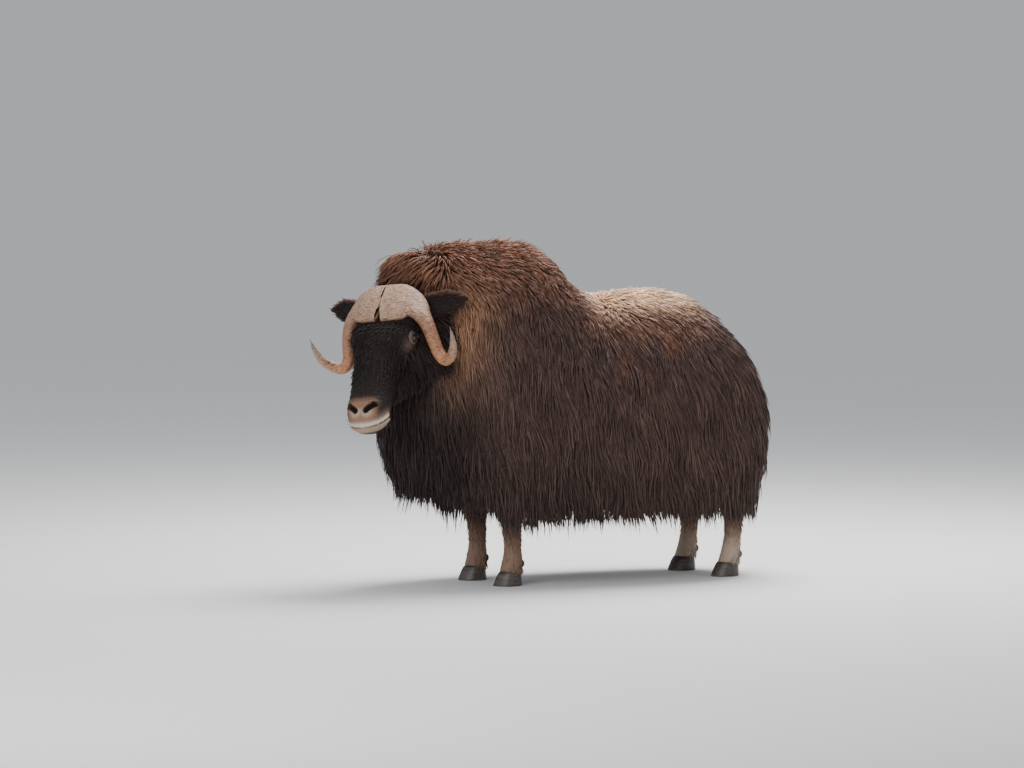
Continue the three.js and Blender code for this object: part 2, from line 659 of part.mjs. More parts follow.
for (const [name, { leg, at }] of feet) {
  animal.add(meshOf(name, legSolid(LEGS[leg], at, 0), MATERIALS.legs));
  const foot = [at[0] + LEGS[leg].x(HOOF_HEIGHT), at[1]];
  for (const [label, outward] of [["outer", Math.sign(at[1])], ["inner", -Math.sign(at[1])]]) {
    animal.add(meshOf(`${name.replace("leg", "hoof")}_${label}`, clawSolid(foot, outward), MATERIALS.hoof));
  }
}

for (const [label, side] of sides) {
  const skull = headSolid(GAP);
  headFrame.add(meshOf(`horn_${label}`, hornSolid(side, 0).subtract(skull), MATERIALS.horn));
  const ear = earSolid(side).subtract(skull).subtract(hornSolid(side, GAP));
  headFrame.add(meshOf(`ear_${label}`, ear, MATERIALS.face));
  headFrame.add(meshOf(`eye_${label}`, eyeSolid(side, 0), MATERIALS.eye));
}
animal.add(headFrame);

const box = new THREE.Box3().setFromObject(animal, true);
animal.position.set(-(box.min.x + box.max.x) / 2, -(box.min.y + box.max.y) / 2, -box.min.z);

export default animal;
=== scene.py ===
import math

import bpy
import numpy as np
from bpy.props import FloatProperty, FloatVectorProperty, IntProperty, PointerProperty
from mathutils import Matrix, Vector, kdtree, noise


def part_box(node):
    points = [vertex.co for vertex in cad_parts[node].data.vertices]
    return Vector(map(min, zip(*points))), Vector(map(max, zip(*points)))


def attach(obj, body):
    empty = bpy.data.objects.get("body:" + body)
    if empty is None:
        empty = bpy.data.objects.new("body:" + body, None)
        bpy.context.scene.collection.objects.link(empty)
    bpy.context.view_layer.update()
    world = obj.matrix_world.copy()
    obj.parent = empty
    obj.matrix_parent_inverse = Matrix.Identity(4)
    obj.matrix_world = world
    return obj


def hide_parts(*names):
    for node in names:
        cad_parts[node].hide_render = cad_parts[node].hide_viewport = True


bl_info = {
    "name": "Muskox",
    "version": (1, 0, 0),
    "blender": (4, 5, 0),
    "location": "3D View > Sidebar > Muskox",
    "description": "Builds the skin, coat, horns, eyes and hooves of a standing bull muskox",
    "category": "Object",
}

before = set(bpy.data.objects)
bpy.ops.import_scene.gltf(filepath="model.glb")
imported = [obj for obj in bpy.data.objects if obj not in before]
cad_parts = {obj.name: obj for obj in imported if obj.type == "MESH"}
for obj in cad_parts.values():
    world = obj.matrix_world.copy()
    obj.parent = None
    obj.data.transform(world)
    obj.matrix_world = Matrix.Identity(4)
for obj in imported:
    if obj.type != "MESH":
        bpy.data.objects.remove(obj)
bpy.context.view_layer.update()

CAMERA_AZIMUTH = 155
CAMERA_ELEVATION = 4
CAMERA_TARGET = np.array([372.5, 0.0, 849.0])
FLOOR_REACH = 400
SKY = (0.80, 0.84, 0.9, 1)
SKY_STRENGTH = 0.75

BODY = "root"
MM = 0.001
BAKE_MAP = "OFBake"
BAKE_PATCH = 0.003  # side of the square that one tuft takes on the unwrap
TINT = "tint"  # colour attribute that carries the markings and the painted shade and light
ALONG = "along"  # share of the way from the root of a horn to its tip

# Head frame: x down the line of the face, y left, z out of the face, from the foot of the horns' parting
HEAD_YAW = 38
HEAD_ROLL = 6
FACE_PITCH = 61
PARTING_FOOT = np.array([1080.0, 150.0, 1149.0])
EYE = np.array([50.0, 136.0, -96.0])
EYE_RADIUS = 19.0
PARTING = 3.5
HOOF_HEIGHT = 62.0
CLEFT = 3.0
GAP = 0.4
FEET = {
    "front_left": ("front", (446, 150)),
    "front_right": ("front", (474, -150)),
    "hind_left": ("hind", (-590, 160)),
    "hind_right": ("hind", (-540, -160)),
}
SIDES = (("left", 1), ("right", -1))


# Plain sums


def smooth(low, high, x):
    """0 below low and 1 above high, with an even turn between them."""
    s = np.clip((np.asarray(x, float) - low) / (high - low), 0, 1)
    return s * s * (3 - 2 * s)


def mound(distance, spread):
    return np.exp(-(distance**2) / (2 * spread**2))


def power(x, n):
    return np.sign(x) * np.abs(x) ** n


def mix(a, b, share):
    return a + (b - a) * share


def unit(v):
    return v / np.maximum(np.linalg.norm(v, axis=-1, keepdims=True), 1e-9)


def round_turns(count):
    """Angles at even steps once round."""
    return np.linspace(0, 2 * math.pi, count, endpoint=False)


def rgb(*eight_bit):
    """A colour as seen, 0 to 255, turned into the linear values that materials take."""
    c = np.array(eight_bit) / 255
    return np.where(c <= 0.04045, c / 12.92, ((c + 0.055) / 1.055) ** 2.4)


def through(table):
    """A smooth function through [key, value] pairs, with no overshoot between them."""
    keys, values = np.array(table, float).T
    span = np.diff(keys)
    slope = np.diff(values) / span
    tangent = np.concatenate([slope[:1], slope[1:], slope[-1:]])
    product, total = slope[:-1] * slope[1:], slope[:-1] + slope[1:]
    tangent[1:-1] = np.where(product > 0, 2 * product / np.where(product > 0, total, 1), 0)

    def curve(x):
        x = np.clip(x, keys[0], keys[-1])
        i = np.clip(np.searchsorted(keys, x, side="right") - 1, 0, len(span) - 1)
        s = (x - keys[i]) / span[i]
        swell = span[i] * s * (1 - s) * (tangent[i] * (1 - s) - tangent[i + 1] * s)
        return mix(values[i], values[i + 1], s * s * (3 - 2 * s)) + swell

    return curve


# The form of body and neck: level from the hem (0) to the spine (1), turn round the plan from the chest (0)
# by the left side, and share from the skin (0) to the tips of the coat (1)

END_INSET = 55
SIDE_INSET = 50
SPINE = through(
    [
        [-360, 1235], [-260, 1247], [-120, 1242], [20, 1229], [80, 1250], [160, 1305], [200, 1362],
        [260, 1420], [330, 1456], [440, 1463], [730, 1463], [840, 1466], [960, 1440],
    ]
)
SPINE_INSET = through([[-360, 25], [50, 25], [250, 52], [800, 55]])
HEM = through([[-500, 280], [-100, 285], [300, 270], [550, 252], [650, 325], [800, 360], [920, 410]])
CORE_HEM = through([[450, 440], [650, 490], [900, 560]])
HALF_WIDTH = through([[-800, 440], [-600, 410], [-400, 400], [0, 390], [450, 385], [650, 375], [850, 380]])
THROAT = through([[600, 0], [800, 0.3], [900, 0.4]])
REAR_LINE = through(
    [
        [0, -735], [0.115, -755], [0.24, -785], [0.44, -790], [0.607, -750],
        [0.712, -700], [0.803, -630], [0.896, -540], [0.963, -460], [1, -360],
    ]
)
FRONT_LINE = through(
    [
        [0, 860], [0.13, 905], [0.3, 930], [0.45, 935], [0.6, 925], [0.75, 935], [0.84, 945],
        [0.925, 925], [0.98, 880], [1, 810],
    ]
)
TUCK = through([[0, 0.87], [0.2, 0.96], [0.45, 1]])
NECK_TURN = through([[480, 0], [950, 0.42]])
CHEST_TURN = through([[0, 0.2], [0.5, 1]])
ROUNDNESS = 3.6


def coat_point(level, turn, share):
    """A point of the body at one share of the coat's depth."""
    level, turn, share = np.broadcast_arrays(
        np.asarray(level, float), np.asarray(turn, float), np.asarray(share, float)
    )
    inset = 1 - share
    rear = REAR_LINE(level) + END_INSET * inset
    front = FRONT_LINE(level) - END_INSET * inset
    blunt = np.where(np.cos(turn) > 0, 0.58, 0.75)
    x = mix(rear, front, (1 + power(np.cos(turn), blunt)) / 2)
    pinch = 1 - THROAT(x) * mound(level - 0.66, 0.18)
    arch = np.sqrt(1 - np.clip(level, 0, 1) ** ROUNDNESS)
    half = (HALF_WIDTH(x) * pinch - SIDE_INSET * inset) * arch * TUCK(level)
    y = power(np.sin(turn), 0.62) * half
    bottom = mix(CORE_HEM(x), HEM(x), share)
    top = SPINE(x) - SPINE_INSET(x) * inset
    return np.stack([x - y * NECK_TURN(x) * CHEST_TURN(level), y, mix(bottom, top, level)], axis=-1)


RIDGE = 0.999


def body_point(climb, turn, share):
    """As coat_point, with the level given by an even climb from the hem (0) to the ridge of the back (1)."""
    return coat_point(np.sin(np.minimum(climb, RIDGE) * math.pi / 2), turn, share)


def make_stride(samples=720, level=0.4):
    """The turn reached after a share of the walk round the coat, so that steps are alike in length."""
    turns = np.linspace(0, 2 * math.pi, samples + 1)
    steps = np.linalg.norm(np.diff(coat_point(level, turns, 1), axis=0), axis=1)
    walked = np.concatenate([[0], np.cumsum(steps)])
    return lambda part: np.interp(np.mod(part, 1), walked / walked[-1], turns)


stride = make_stride()


# The head

HEAD_TOP = through(
    [
        [-205, -150], [-190, -118], [-120, -72], [-40, -44], [0, -26], [30, -8], [60, 0], [150, 6],
        [300, 8], [370, 4], [410, -2], [440, -10], [468, -24], [483, -42], [492, -60],
    ]
)
HEAD_BOTTOM = through(
    [
        [-205, -185], [-190, -205], [-100, -238], [0, -252], [60, -250], [150, -226], [250, -188],
        [350, -164], [410, -152], [440, -144], [468, -127], [483, -105], [492, -78],
    ]
)
HEAD_HALF = through(
    [
        [-205, 70], [-190, 105], [-120, 138], [0, 138], [60, 130], [150, 108], [250, 92], [330, 86],
        [400, 87], [440, 79], [468, 61], [483, 42], [492, 14],
    ]
)
HEAD_WIDEST = through(
    [[-205, -165], [-120, -140], [0, -115], [100, -105], [250, -88], [400, -66], [492, -68]]
)
HEAD_ENDS = (-205.0, 492.0)
MOUTH_CORNER = (400.0, -110.0)
MOUTH_SLOPE = math.radians(40)
HANG = np.array([0.87, 0.0, -0.49])  # straight down, in the head's frame


def mouth_place(x, z):
    """Distance along the mouth from its corner, and above it."""
    ahead, up = x - MOUTH_CORNER[0], z - MOUTH_CORNER[1]
    c, s = math.cos(MOUTH_SLOPE), math.sin(MOUTH_SLOPE)
    return ahead * c + up * s, up * c - ahead * s


def head_relief(x, y, z):
    """Brows, cheeks and lips, raised over the plain form of the head."""
    side = np.abs(y)
    orbit = 14 * mound(np.hypot(x - EYE[0] + 6, z - EYE[2] - 4), 34) * np.minimum(1, side / 100)
    cheek = 9 * mound(np.hypot(x - 70, z + 190), 55) * np.minimum(1, side / 80)
    hollow = -9 * mound(np.hypot(x - 165, z + 60), 42) * np.minimum(1, side / 60)
    lip = 7 * mound((x - 440) * 0.65 - (z + 77) * 0.76 - 12, 10) * mound(x - 430, 45)
    nose = 6 * mound(np.hypot(x - 392, z + 8), 26) * mound(side - 38, 30)
    return orbit + cheek + hollow + lip + nose


def head_detail(x, y, z):
    """Finer forms than the relief: the line of the mouth, lips, nostrils and folds."""
    side = np.abs(y)
    along, above = mouth_place(x, z)
    open_part = smooth(-6, 14, along)
    groove = -9 * mound(above, 2.6) * open_part
    lips = (3.2 * mound(above - 8, 5) + 3.4 * mound(above + 8, 5)) * open_part
    hole, _ = nostril_place(x, side)
    nostril = -22 * mound(hole, 6.5) + 4 * mound(hole - 14, 4)
    front = smooth(362, 380, x) * smooth(-60, -38, z)
    philtrum = -3 * mound(side, 3) * smooth(400, 420, x) * smooth(6, 14, above)
    wrinkle = 0.9 * np.sin((x - 0.5 * z) / 3.4) * mound(np.hypot(x - 352, z + 20), 30) * smooth(20, 45, side)
    return groove + lips + nostril * front + philtrum + wrinkle


def head_point(x, angle, rim=1.0, grow=0.0, detail=False):
    x, angle = np.broadcast_arrays(np.asarray(x, float), np.asarray(angle, float))
    c, v = power(np.cos(angle), 0.88), power(np.sin(angle), 0.88)
    middle = HEAD_WIDEST(x)
    y = HEAD_HALF(x) * c * rim
    z = middle + np.where(v > 0, HEAD_TOP(x) - middle, middle - HEAD_BOTTOM(x)) * v * rim
    push = (head_relief(x, y, z) + (head_detail(x, y, z) if detail else 0) + grow) * rim
    return np.stack([x, y + push * c, z + push * v], axis=-1)


def inside_head(points, grow=0.0):
    """Which points, in the head's frame, lie inside the head."""
    x, y, z = points[..., 0], points[..., 1], points[..., 2]
    middle = HEAD_WIDEST(x)
    tall = np.where(z > middle, HEAD_TOP(x) - middle, middle - HEAD_BOTTOM(x)) + grow
    within = (y / (HEAD_HALF(x) + grow)) ** 2 + ((z - middle) / tall) ** 2 < 1.05
    return within & (x > HEAD_ENDS[0] - grow) & (x < HEAD_ENDS[1] + grow)


def turn_about(axis, degrees):
    c, s = math.cos(math.radians(degrees)), math.sin(math.radians(degrees))
    i, j = [(1, 2), (2, 0), (0, 1)][axis]
    matrix = np.eye(3)
    matrix[i, i], matrix[i, j], matrix[j, i], matrix[j, j] = c, -s, s, c
    return matrix


HEAD_TURN = turn_about(2, HEAD_YAW) @ turn_about(0, HEAD_ROLL) @ turn_about(1, FACE_PITCH)


def from_head(points):
    return points @ HEAD_TURN.T + PARTING_FOOT


def to_head(points):
    return (points - PARTING_FOOT) @ HEAD_TURN


def find_shift():
    """From the animal's own frame to the row frame, found where the left eye stands in both."""
    low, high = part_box("eye_left")
    return (np.array(low) + np.array(high)) / 2 / MM - from_head(EYE)


SHIFT = find_shift()


def to_row(points):
    return (points + SHIFT) * MM


# Ears, horns, legs, claws and tail

EAR_ROOT = np.array([-98.0, 118.0, -122.0])
EAR_TIP = np.array([-159.0, 312.0, -171.0])
EAR_HALF = through([[0, 26], [0.3, 44], [0.6, 43], [0.85, 26], [1, 5]])
EAR_CUP = through([[0, 14], [0.4, 24], [0.8, 14], [1, 2]])
EAR_THICK = through([[0, 13], [0.3, 8], [1, 4]])
HORN_PATH = np.array(
    [
        [-101, 0, -50], [-104, 50, -52], [-102, 98, -62], [-88, 138, -82], [-54, 168, -102],
        [-10, 190, -132], [35, 203, -166], [77, 217, -200], [104, 243, -212], [106, 282, -190],
        [92, 316, -142], [66, 331, -98], [34, 337, -54],
    ],
    float,
)
HORN_HALF = through(
    [
        [0, 102], [0.12, 98], [0.2, 82], [0.28, 58], [0.36, 42],
        [0.5, 35], [0.65, 29], [0.8, 22], [0.92, 13], [1, 3],
    ]
)
HORN_THICK = through([[0, 30], [0.12, 33], [0.25, 34], [0.4, 32], [0.6, 29], [0.8, 22], [0.92, 13], [1, 3]])
BOSS_WAY = np.array([0.97, 0.0, 0.235])
SHANK_WAY = np.array([0.75, 0.3, 0.6])
LEGS = {
    "front": (
        through([[58, 4], [110, -4], [170, -6], [260, -2], [335, 4], [400, -2], [560, -14]]),
        through([[58, 44], [78, 45], [112, 42], [170, 35], [260, 38], [335, 48], [400, 54], [560, 84]]),
        through([[58, 42], [78, 42], [112, 39], [170, 33], [260, 35], [335, 43], [400, 46], [560, 62]]),
    ),
    "hind": (
        through([[58, 8], [112, -6], [180, -14], [280, -22], [350, -30], [420, -20], [500, 2], [560, 20]]),
        through([[58, 42], [78, 43], [112, 41], [180, 35], [280, 39], [350, 49], [420, 60], [560, 106]]),
        through([[58, 41], [78, 41], [112, 38], [180, 32], [280, 34], [350, 38], [420, 46], [560, 66]]),
    ),
}
LEG_TOP = 570.0
CLAW_LENGTH = through([[0, 64], [0.75, 52], [1, 45]])
CLAW_LEAN = through([[0, 16], [0.75, 7], [1, 3]])
CLAW_BREADTH = through([[0, 52], [0.75, 45], [1, 40]])
DEWCLAW, DEWCLAW_RADII = np.array([-41, 19, 94]), np.array([12, 9, 16])
TAIL_ROOT = np.array([-735.0, 0.0, 815.0])
TAIL_TIP = np.array([-808.0, 0.0, 640.0])
TAIL_HALF = through([[0, 30], [0.4, 40], [0.8, 28], [1, 8]])


def ear_point(t, angle, side):
    axis = unit(EAR_TIP - EAR_ROOT)
    hollow = np.array([0.55, 0.1, 0.83])
    hollow = unit(hollow - axis * (hollow @ axis))
    wide = np.cross(axis, hollow)
    t, angle = np.broadcast_arrays(np.asarray(t, float), np.asarray(angle, float))
    c, v = np.cos(angle), power(np.sin(angle), 0.6)
    p = mix(EAR_ROOT, EAR_TIP, t[..., None]) + wide * (c * EAR_HALF(t))[..., None]
    p = p + hollow * ((c * c - 1) * EAR_CUP(t) + v * EAR_THICK(t))[..., None]
    return p * [1, side, 1]


def leg_point(kind, at, z, angle, grow=0.0):
    middle, long, wide = LEGS[kind]
    x = at[0] + middle(z) + np.cos(angle) * (long(z) + grow)
    y = at[1] + np.sin(angle) * (wide(z) + grow)
    return np.stack(np.broadcast_arrays(x, y, z), axis=-1)


def horn_line(samples=600):
    """The horn's middle line at even steps, a smooth curve through the points of its path."""
    p = np.vstack([2 * HORN_PATH[0] - HORN_PATH[1], HORN_PATH, 2 * HORN_PATH[-1] - HORN_PATH[-2]])
    pace = np.linalg.norm(np.diff(p, axis=0), axis=1) ** 0.5
    dense = []
    for i in range(1, len(p) - 2):
        a, b, c = pace[i - 1], pace[i], pace[i + 1]
        start = ((p[i] - p[i - 1]) / a - (p[i + 1] - p[i - 1]) / (a + b) + (p[i + 1] - p[i]) / b) * b
        end = ((p[i + 1] - p[i]) / b - (p[i + 2] - p[i]) / (b + c) + (p[i + 2] - p[i + 1]) / c) * b
        s = np.linspace(0, 1, 60, endpoint=False)[:, None]
        dense.append(
            (2 * s**3 - 3 * s**2 + 1) * p[i] + (s**3 - 2 * s**2 + s) * start
            + (3 * s**2 - 2 * s**3) * p[i + 1] + (s**3 - s**2) * end
        )
    line = np.vstack(dense + [p[-2:-1]])
    walked = np.concatenate([[0], np.cumsum(np.linalg.norm(np.diff(line, axis=0), axis=1))])
    even = np.linspace(0, walked[-1], samples)
    return np.stack([np.interp(even, walked, line[:, k]) for k in range(3)], axis=-1)


# Markings, with painted shade and painted rim light among them

DARK = rgb(80, 61, 56)
DEEP = rgb(58, 46, 42)
CHEST_SHADE = rgb(44, 35, 32)
NIGHT = rgb(30, 23, 21)
RUSSET = rgb(122, 82, 62)
GOLDEN = rgb(178, 132, 100)
SADDLE = rgb(220, 182, 150)
SADDLE_EDGE = rgb(112, 78, 62)
REAR_RIM_LIGHT = rgb(112, 92, 80)
FACE = rgb(36, 28, 25)
MUZZLE = rgb(150, 116, 92)
PALE = rgb(222, 206, 190)
CHIN = rgb(186, 160, 138)
LID = rgb(112, 90, 82)
STOCKING = rgb(132, 106, 90)
STOCKING_PALE = rgb(186, 168, 148)


def blend_in(colour, other, share):
    return colour + (other - colour) * np.asarray(share)[..., None]


def mottle(points, size):
    """Soft patches of lighter and darker coat, from -1 to 1."""
    x, y, z = (points[..., k] / size for k in range(3))
    return np.sin(1.7 * x + 1.1 * np.sin(1.3 * z + y)) * np.sin(1.9 * z + 1.3 * np.sin(0.9 * x - 1.2 * y))


def body_tint(points):
    """The coat's colour by the place of its roots, with painted shade at the chest and behind the horn and
    painted rim light on the rear edge.
    """
    x, y, z = points[..., 0], points[..., 1], points[..., 2]
    height = z / SPINE(x)
    colour = np.broadcast_to(DARK, points.shape).copy()
    colour = blend_in(colour, DEEP, smooth(0.6, 0.3, height))
    colour = blend_in(colour, DEEP, 0.8 * smooth(-600, -720, x))
    # painted shade: the chest and the front of the skirt are darkened
    colour = blend_in(colour, CHEST_SHADE, smooth(560, 760, x) * smooth(0.8, 0.62, height))
    colour = blend_in(colour, RUSSET, smooth(0.8, 0.97, height) * smooth(60, 260, x))
    rust = smooth(0.1, 0.8, mottle(points, 60)) * mound(z - 1085, 60)
    rust = rust * smooth(-420, -250, x) * smooth(240, 60, x)
    colour = blend_in(colour, RUSSET, 0.8 * rust)
    patch = mound(np.hypot(x - 725, (z - 1215) / 1.45), 84) * smooth(90, 200, np.abs(y))
    colour = blend_in(colour, GOLDEN, 0.9 * patch)
    # painted shadow: a near-black spot behind the horn and under the ear
    painted_shadow_behind_horn = mound(np.hypot(x - 905, (z - 1110) / 1.6), 75)
    colour = blend_in(colour, NIGHT, painted_shadow_behind_horn)
    band = smooth(-500, -340, x) * smooth(220, 80, x)
    colour = blend_in(colour, SADDLE_EDGE, 0.9 * smooth(0.84, 0.92, height) * band)
    ridge = smooth(0.91, 0.975, height) * smooth(-430, -330, x) * smooth(190, 90, x)
    colour = blend_in(colour, SADDLE, ridge)
    # painted rim light: the rear edge of the rump is lightened
    colour = blend_in(colour, REAR_RIM_LIGHT, 0.5 * smooth(-700, -780, x) * smooth(0.3, 0.5, height))
    return colour * (1 + 0.2 * mottle(points, 52) + 0.12 * mottle(points, 21))[..., None]


def head_tint(points):
    """The colour of the head by place in the head's frame, with painted shade inside the nostrils."""
    x, y, z = points[..., 0], points[..., 1], points[..., 2]
    side = np.abs(y)
    along, above = mouth_place(x, z)
    colour = np.broadcast_to(FACE, points.shape).copy()
    colour = blend_in(colour, LID, 0.6 * mound(np.hypot(x - 82, z + 92), 19) * smooth(60, 100, side))
    flews = smooth(350, 410, x) * smooth(60, 20, above) * smooth(-6, 4, above)
    colour = blend_in(colour, STOCKING, 0.75 * flews)
    nose = smooth(350, 392, x) * smooth(-46, -14, z) * smooth(84, 56, side) * smooth(6, 16, above)
    colour = blend_in(colour, MUZZLE, 0.85 * nose)
    upper = mound(above - 10, 8) * smooth(-4, 24, along) * (above > 0)
    lower = smooth(0, -5, above) * smooth(-44, -22, above) * smooth(-4, 26, along)
    colour = blend_in(colour, PALE, 0.9 * upper)
    colour = blend_in(colour, CHIN, 0.8 * lower)
    hole, inner = nostril_place(x, side)
    crescent = mound(inner - 20, 6) * smooth(404, 420, x) * smooth(-60, -36, z)
    colour = blend_in(colour, PALE, 0.3 * crescent)
    # painted shade: the inside of the nostril is near black
    rim = smooth(15, 9, hole) * smooth(-52, -30, z) * smooth(366, 380, x)
    return blend_in(colour, NIGHT * 0.4, 0.97 * rim)


def nostril_place(x, side):
    """Distance from the slanted slit of the nostril, and from its lower end."""
    low, high = np.array([420.0, 24.0]), np.array([392.0, 60.0])
    run = high - low
    t = np.clip(((x - low[0]) * run[0] + (side - low[1]) * run[1]) / (run @ run), 0, 1)
    slit = np.hypot(x - low[0] - t * run[0], side - low[1] - t * run[1])
    return slit, np.hypot(x - low[0], side - low[1])


def body_skin_tint(points):
    return body_tint(points) * 0.7


def head_skin_tint(points):
    return head_tint(to_head(points)) * 0.85


def dewclaw_tint(points):
    return leg_tint(points) * 0.35


def plain_tint(colour):
    return lambda points: np.broadcast_to(colour, points.shape)


def leg_tint(points):
    x, z = points[..., 0], points[..., 2]
    colour = blend_in(np.broadcast_to(STOCKING, points.shape), DARK, smooth(190, 330, z))
    return blend_in(colour, STOCKING_PALE, 0.7 * smooth(-200, -400, x) * smooth(230, 120, z))


# Meshes


class Shells:
    """Closed grids gathered into one mesh, with colours and an unwrap."""

    def __init__(self):
        self.points, self.tints, self.faces, self.unwrap, self.along = [], [], [], [], []
        self.count = 0

    def add(self, grid, tint, patch, zipped=False, along=None):
        """grid: rings of points, closed round. patch: low and high corner of its place on the unwrap.
        along: a value for each ring, kept as an attribute."""
        rings, around, _ = grid.shape
        points = grid.reshape(-1, 3)

        def corner(j, i):
            return j * around + i % around, (i / around, j / max(rings - 1, 1))

        faces = [
            [corner(j, i), corner(j, i + 1), corner(j + 1, i + 1), corner(j + 1, i)]
            for j in range(rings - 1)
            for i in range(around)
        ]
        if zipped:
            last = rings - 1
            for i in range(around // 2):
                far, near = (around - i) % around, around - i - 1
                faces.append([corner(last, i), corner(last, i + 1), corner(last, near), corner(last, far)])
                faces.append([corner(0, i + 1), corner(0, i), corner(0, far), corner(0, near)])
        else:
            points = np.vstack([points, grid[0].mean(0), grid[-1].mean(0)])
            low, high = rings * around, rings * around + 1
            for i in range(around):
                faces.append([(low, ((i + 0.5) / around, 0)), corner(0, i + 1), corner(0, i)])
                end = (high, ((i + 0.5) / around, 1))
                faces.append([end, corner(rings - 1, i), corner(rings - 1, i + 1)])
        if volume_of(points, faces) < 0:
            faces = [face[::-1] for face in faces]
        (u0, v0), (u1, v1) = patch
        for face in faces:
            kept = [c for k, c in enumerate(face) if c[0] != face[k - 1][0]]
            self.faces.append([self.count + index for index, _ in kept])
            self.unwrap.extend((u0 + (u1 - u0) * u, v0 + (v1 - v0) * v) for _, (u, v) in kept)
        self.points.append(points)
        self.tints.append(tint(points))
        if along is None:
            self.along.append(np.zeros(len(points)))
        else:
            self.along.append(np.append(np.repeat(along, around), [0.0, 1.0]))
        self.count += len(points)

    def build(self, name):
        mesh = bpy.data.meshes.new(name)
        mesh.from_pydata(to_row(np.vstack(self.points)).tolist(), [], self.faces)
        finish_mesh(mesh, np.vstack(self.tints), self.unwrap)
        along = np.concatenate(self.along)
        if along.any():
            mesh.attributes.new(ALONG, "FLOAT", "POINT").data.foreach_set("value", along)
        return linked(name, mesh)


def volume_of(points, faces):
    total = 0.0
    for face in faces:
        ids = [index for index, _ in face]
        a = points[ids[0]]
        for b, c in zip(ids[1:-1], ids[2:]):
            total += a @ np.cross(points[b], points[c])
    return total


def finish_mesh(mesh, tints, unwrap):
    layer = mesh.attributes.new(TINT, "FLOAT_COLOR", "POINT")
    rgba = np.ones((len(tints), 4), np.float32)
    rgba[:, :3] = tints
    layer.data.foreach_set("color", rgba.ravel())
    mesh.uv_layers.new(name=BAKE_MAP).data.foreach_set("uv", np.asarray(unwrap, np.float32).ravel())
    mesh.polygons.foreach_set("use_smooth", np.ones(len(mesh.polygons), bool))
    mesh.update()


def linked(name, mesh):
    piece = bpy.data.objects.new(name, mesh)
    bpy.context.scene.collection.objects.link(piece)
    return piece


def join_to(body_slot, piece, *nodes):
    """Sets a finished piece on the body, in place of its nodes; body_slot is not used."""
    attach(piece, BODY)
    if nodes:
        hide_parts(*nodes)


# Tufts: closed strands of three sides, broad near the root and drawn out to a point

WIDTH = through([[0, 0.75], [0.3, 1], [0.6, 0.8], [1, 0.3]])
WHOLE = ((0.02, 0.02), (0.98, 0.98))
PATCHES = {
    "body": ((0.01, 0.42), (0.99, 0.99)),
    "head": ((0.01, 0.01), (0.49, 0.4)),
    "legs": ((0.51, 0.01), (0.99, 0.27)),
    "ears": ((0.51, 0.29), (0.75, 0.4)),
    "tail": ((0.77, 0.29), (0.87, 0.4)),
    "nape": ((0.88, 0.29), (0.99, 0.4)),
}


def spot(patch, u, v):
    (u0, v0), (u1, v1) = PATCHES[patch]
    return np.stack([mix(u0, u1, u), mix(v0, v1, v)], axis=-1)


def strand_faces(rings):
    """Triangles of one strand with this many rings of three corners and a tip."""
    faces = [(0, 2, 1)]
    for k in range(rings - 1):
        for c in range(3):
            a, b = 3 * k + c, 3 * k + (c + 1) % 3
            faces += [(a, b, b + 3), (a, b + 3, a + 3)]
    last = 3 * (rings - 1)
    return np.array(faces + [(last + c, last + (c + 1) % 3, last + 3) for c in range(3)])


def strands(path, outward, half, tint, unwrap, roll, flat=0.55):
    """Corners, colours and unwrap of many strands: path and outward have one row of points each."""
    count, steps, _ = path.shape
    rings = steps - 1
    tangent = unit(np.gradient(path, axis=1))
    normal = unit(outward - tangent * (outward * tangent).sum(-1, keepdims=True))
    wide = np.cross(tangent, normal)
    c, s = np.cos(roll)[:, None, None], np.sin(roll)[:, None, None]
    normal, wide = normal * c + wide * s, wide * c - normal * s
    t = np.linspace(0, 1, steps)[:rings]
    breadth = half[:, None] * WIDTH(t)
    offsets = [(1.0, -0.35), (-1.0, -0.35), (0.0, 0.65)]
    corners = np.stack(
        [
            path[:, :rings] + wide[:, :rings] * (breadth * a)[..., None]
            + normal[:, :rings] * (breadth * flat * 2 * b)[..., None]
            for a, b in offsets
        ],
        axis=2,
    ).reshape(count, rings * 3, 3)
    points = np.concatenate([corners, path[:, -1:]], axis=1)
    along = np.append(np.repeat(t, 3), 1.0)
    across = np.append(np.tile([0.0, 1.0, 0.5], rings), 0.5)
    # painted shade and light: each strand is darker at its root, where the coat shades it, and lighter at its
    # tip
    root_shade_tip_light = mix(0.72, 1.12, along)
    tints = tint[:, None, :] * root_shade_tip_light[None, :, None]
    places = unwrap[:, None, :] + BAKE_PATCH * np.stack([across, along], axis=-1)[None]
    return points, tints, places


def uneven_strands(path, outward, half, tint, unwrap, rng, roll=0.4):
    """Strands that differ in width and are rolled a little about their own line."""
    count = len(path)
    half = half * rng.uniform(0.7, 1.3, count)
    return strands(path, outward, half, tint, unwrap, rng.normal(0, roll, count))


def varied(tint, rng, low, high):
    """Each strand a little darker or lighter than its markings."""
    return tint * rng.uniform(low, high, (len(tint), 1))


def head_spot(x, angle):
    """Place on the unwrap of the head."""
    low, high = HEAD_ENDS
    return spot("head", np.mod(angle / (2 * math.pi), 1), (x - low) / (high - low))


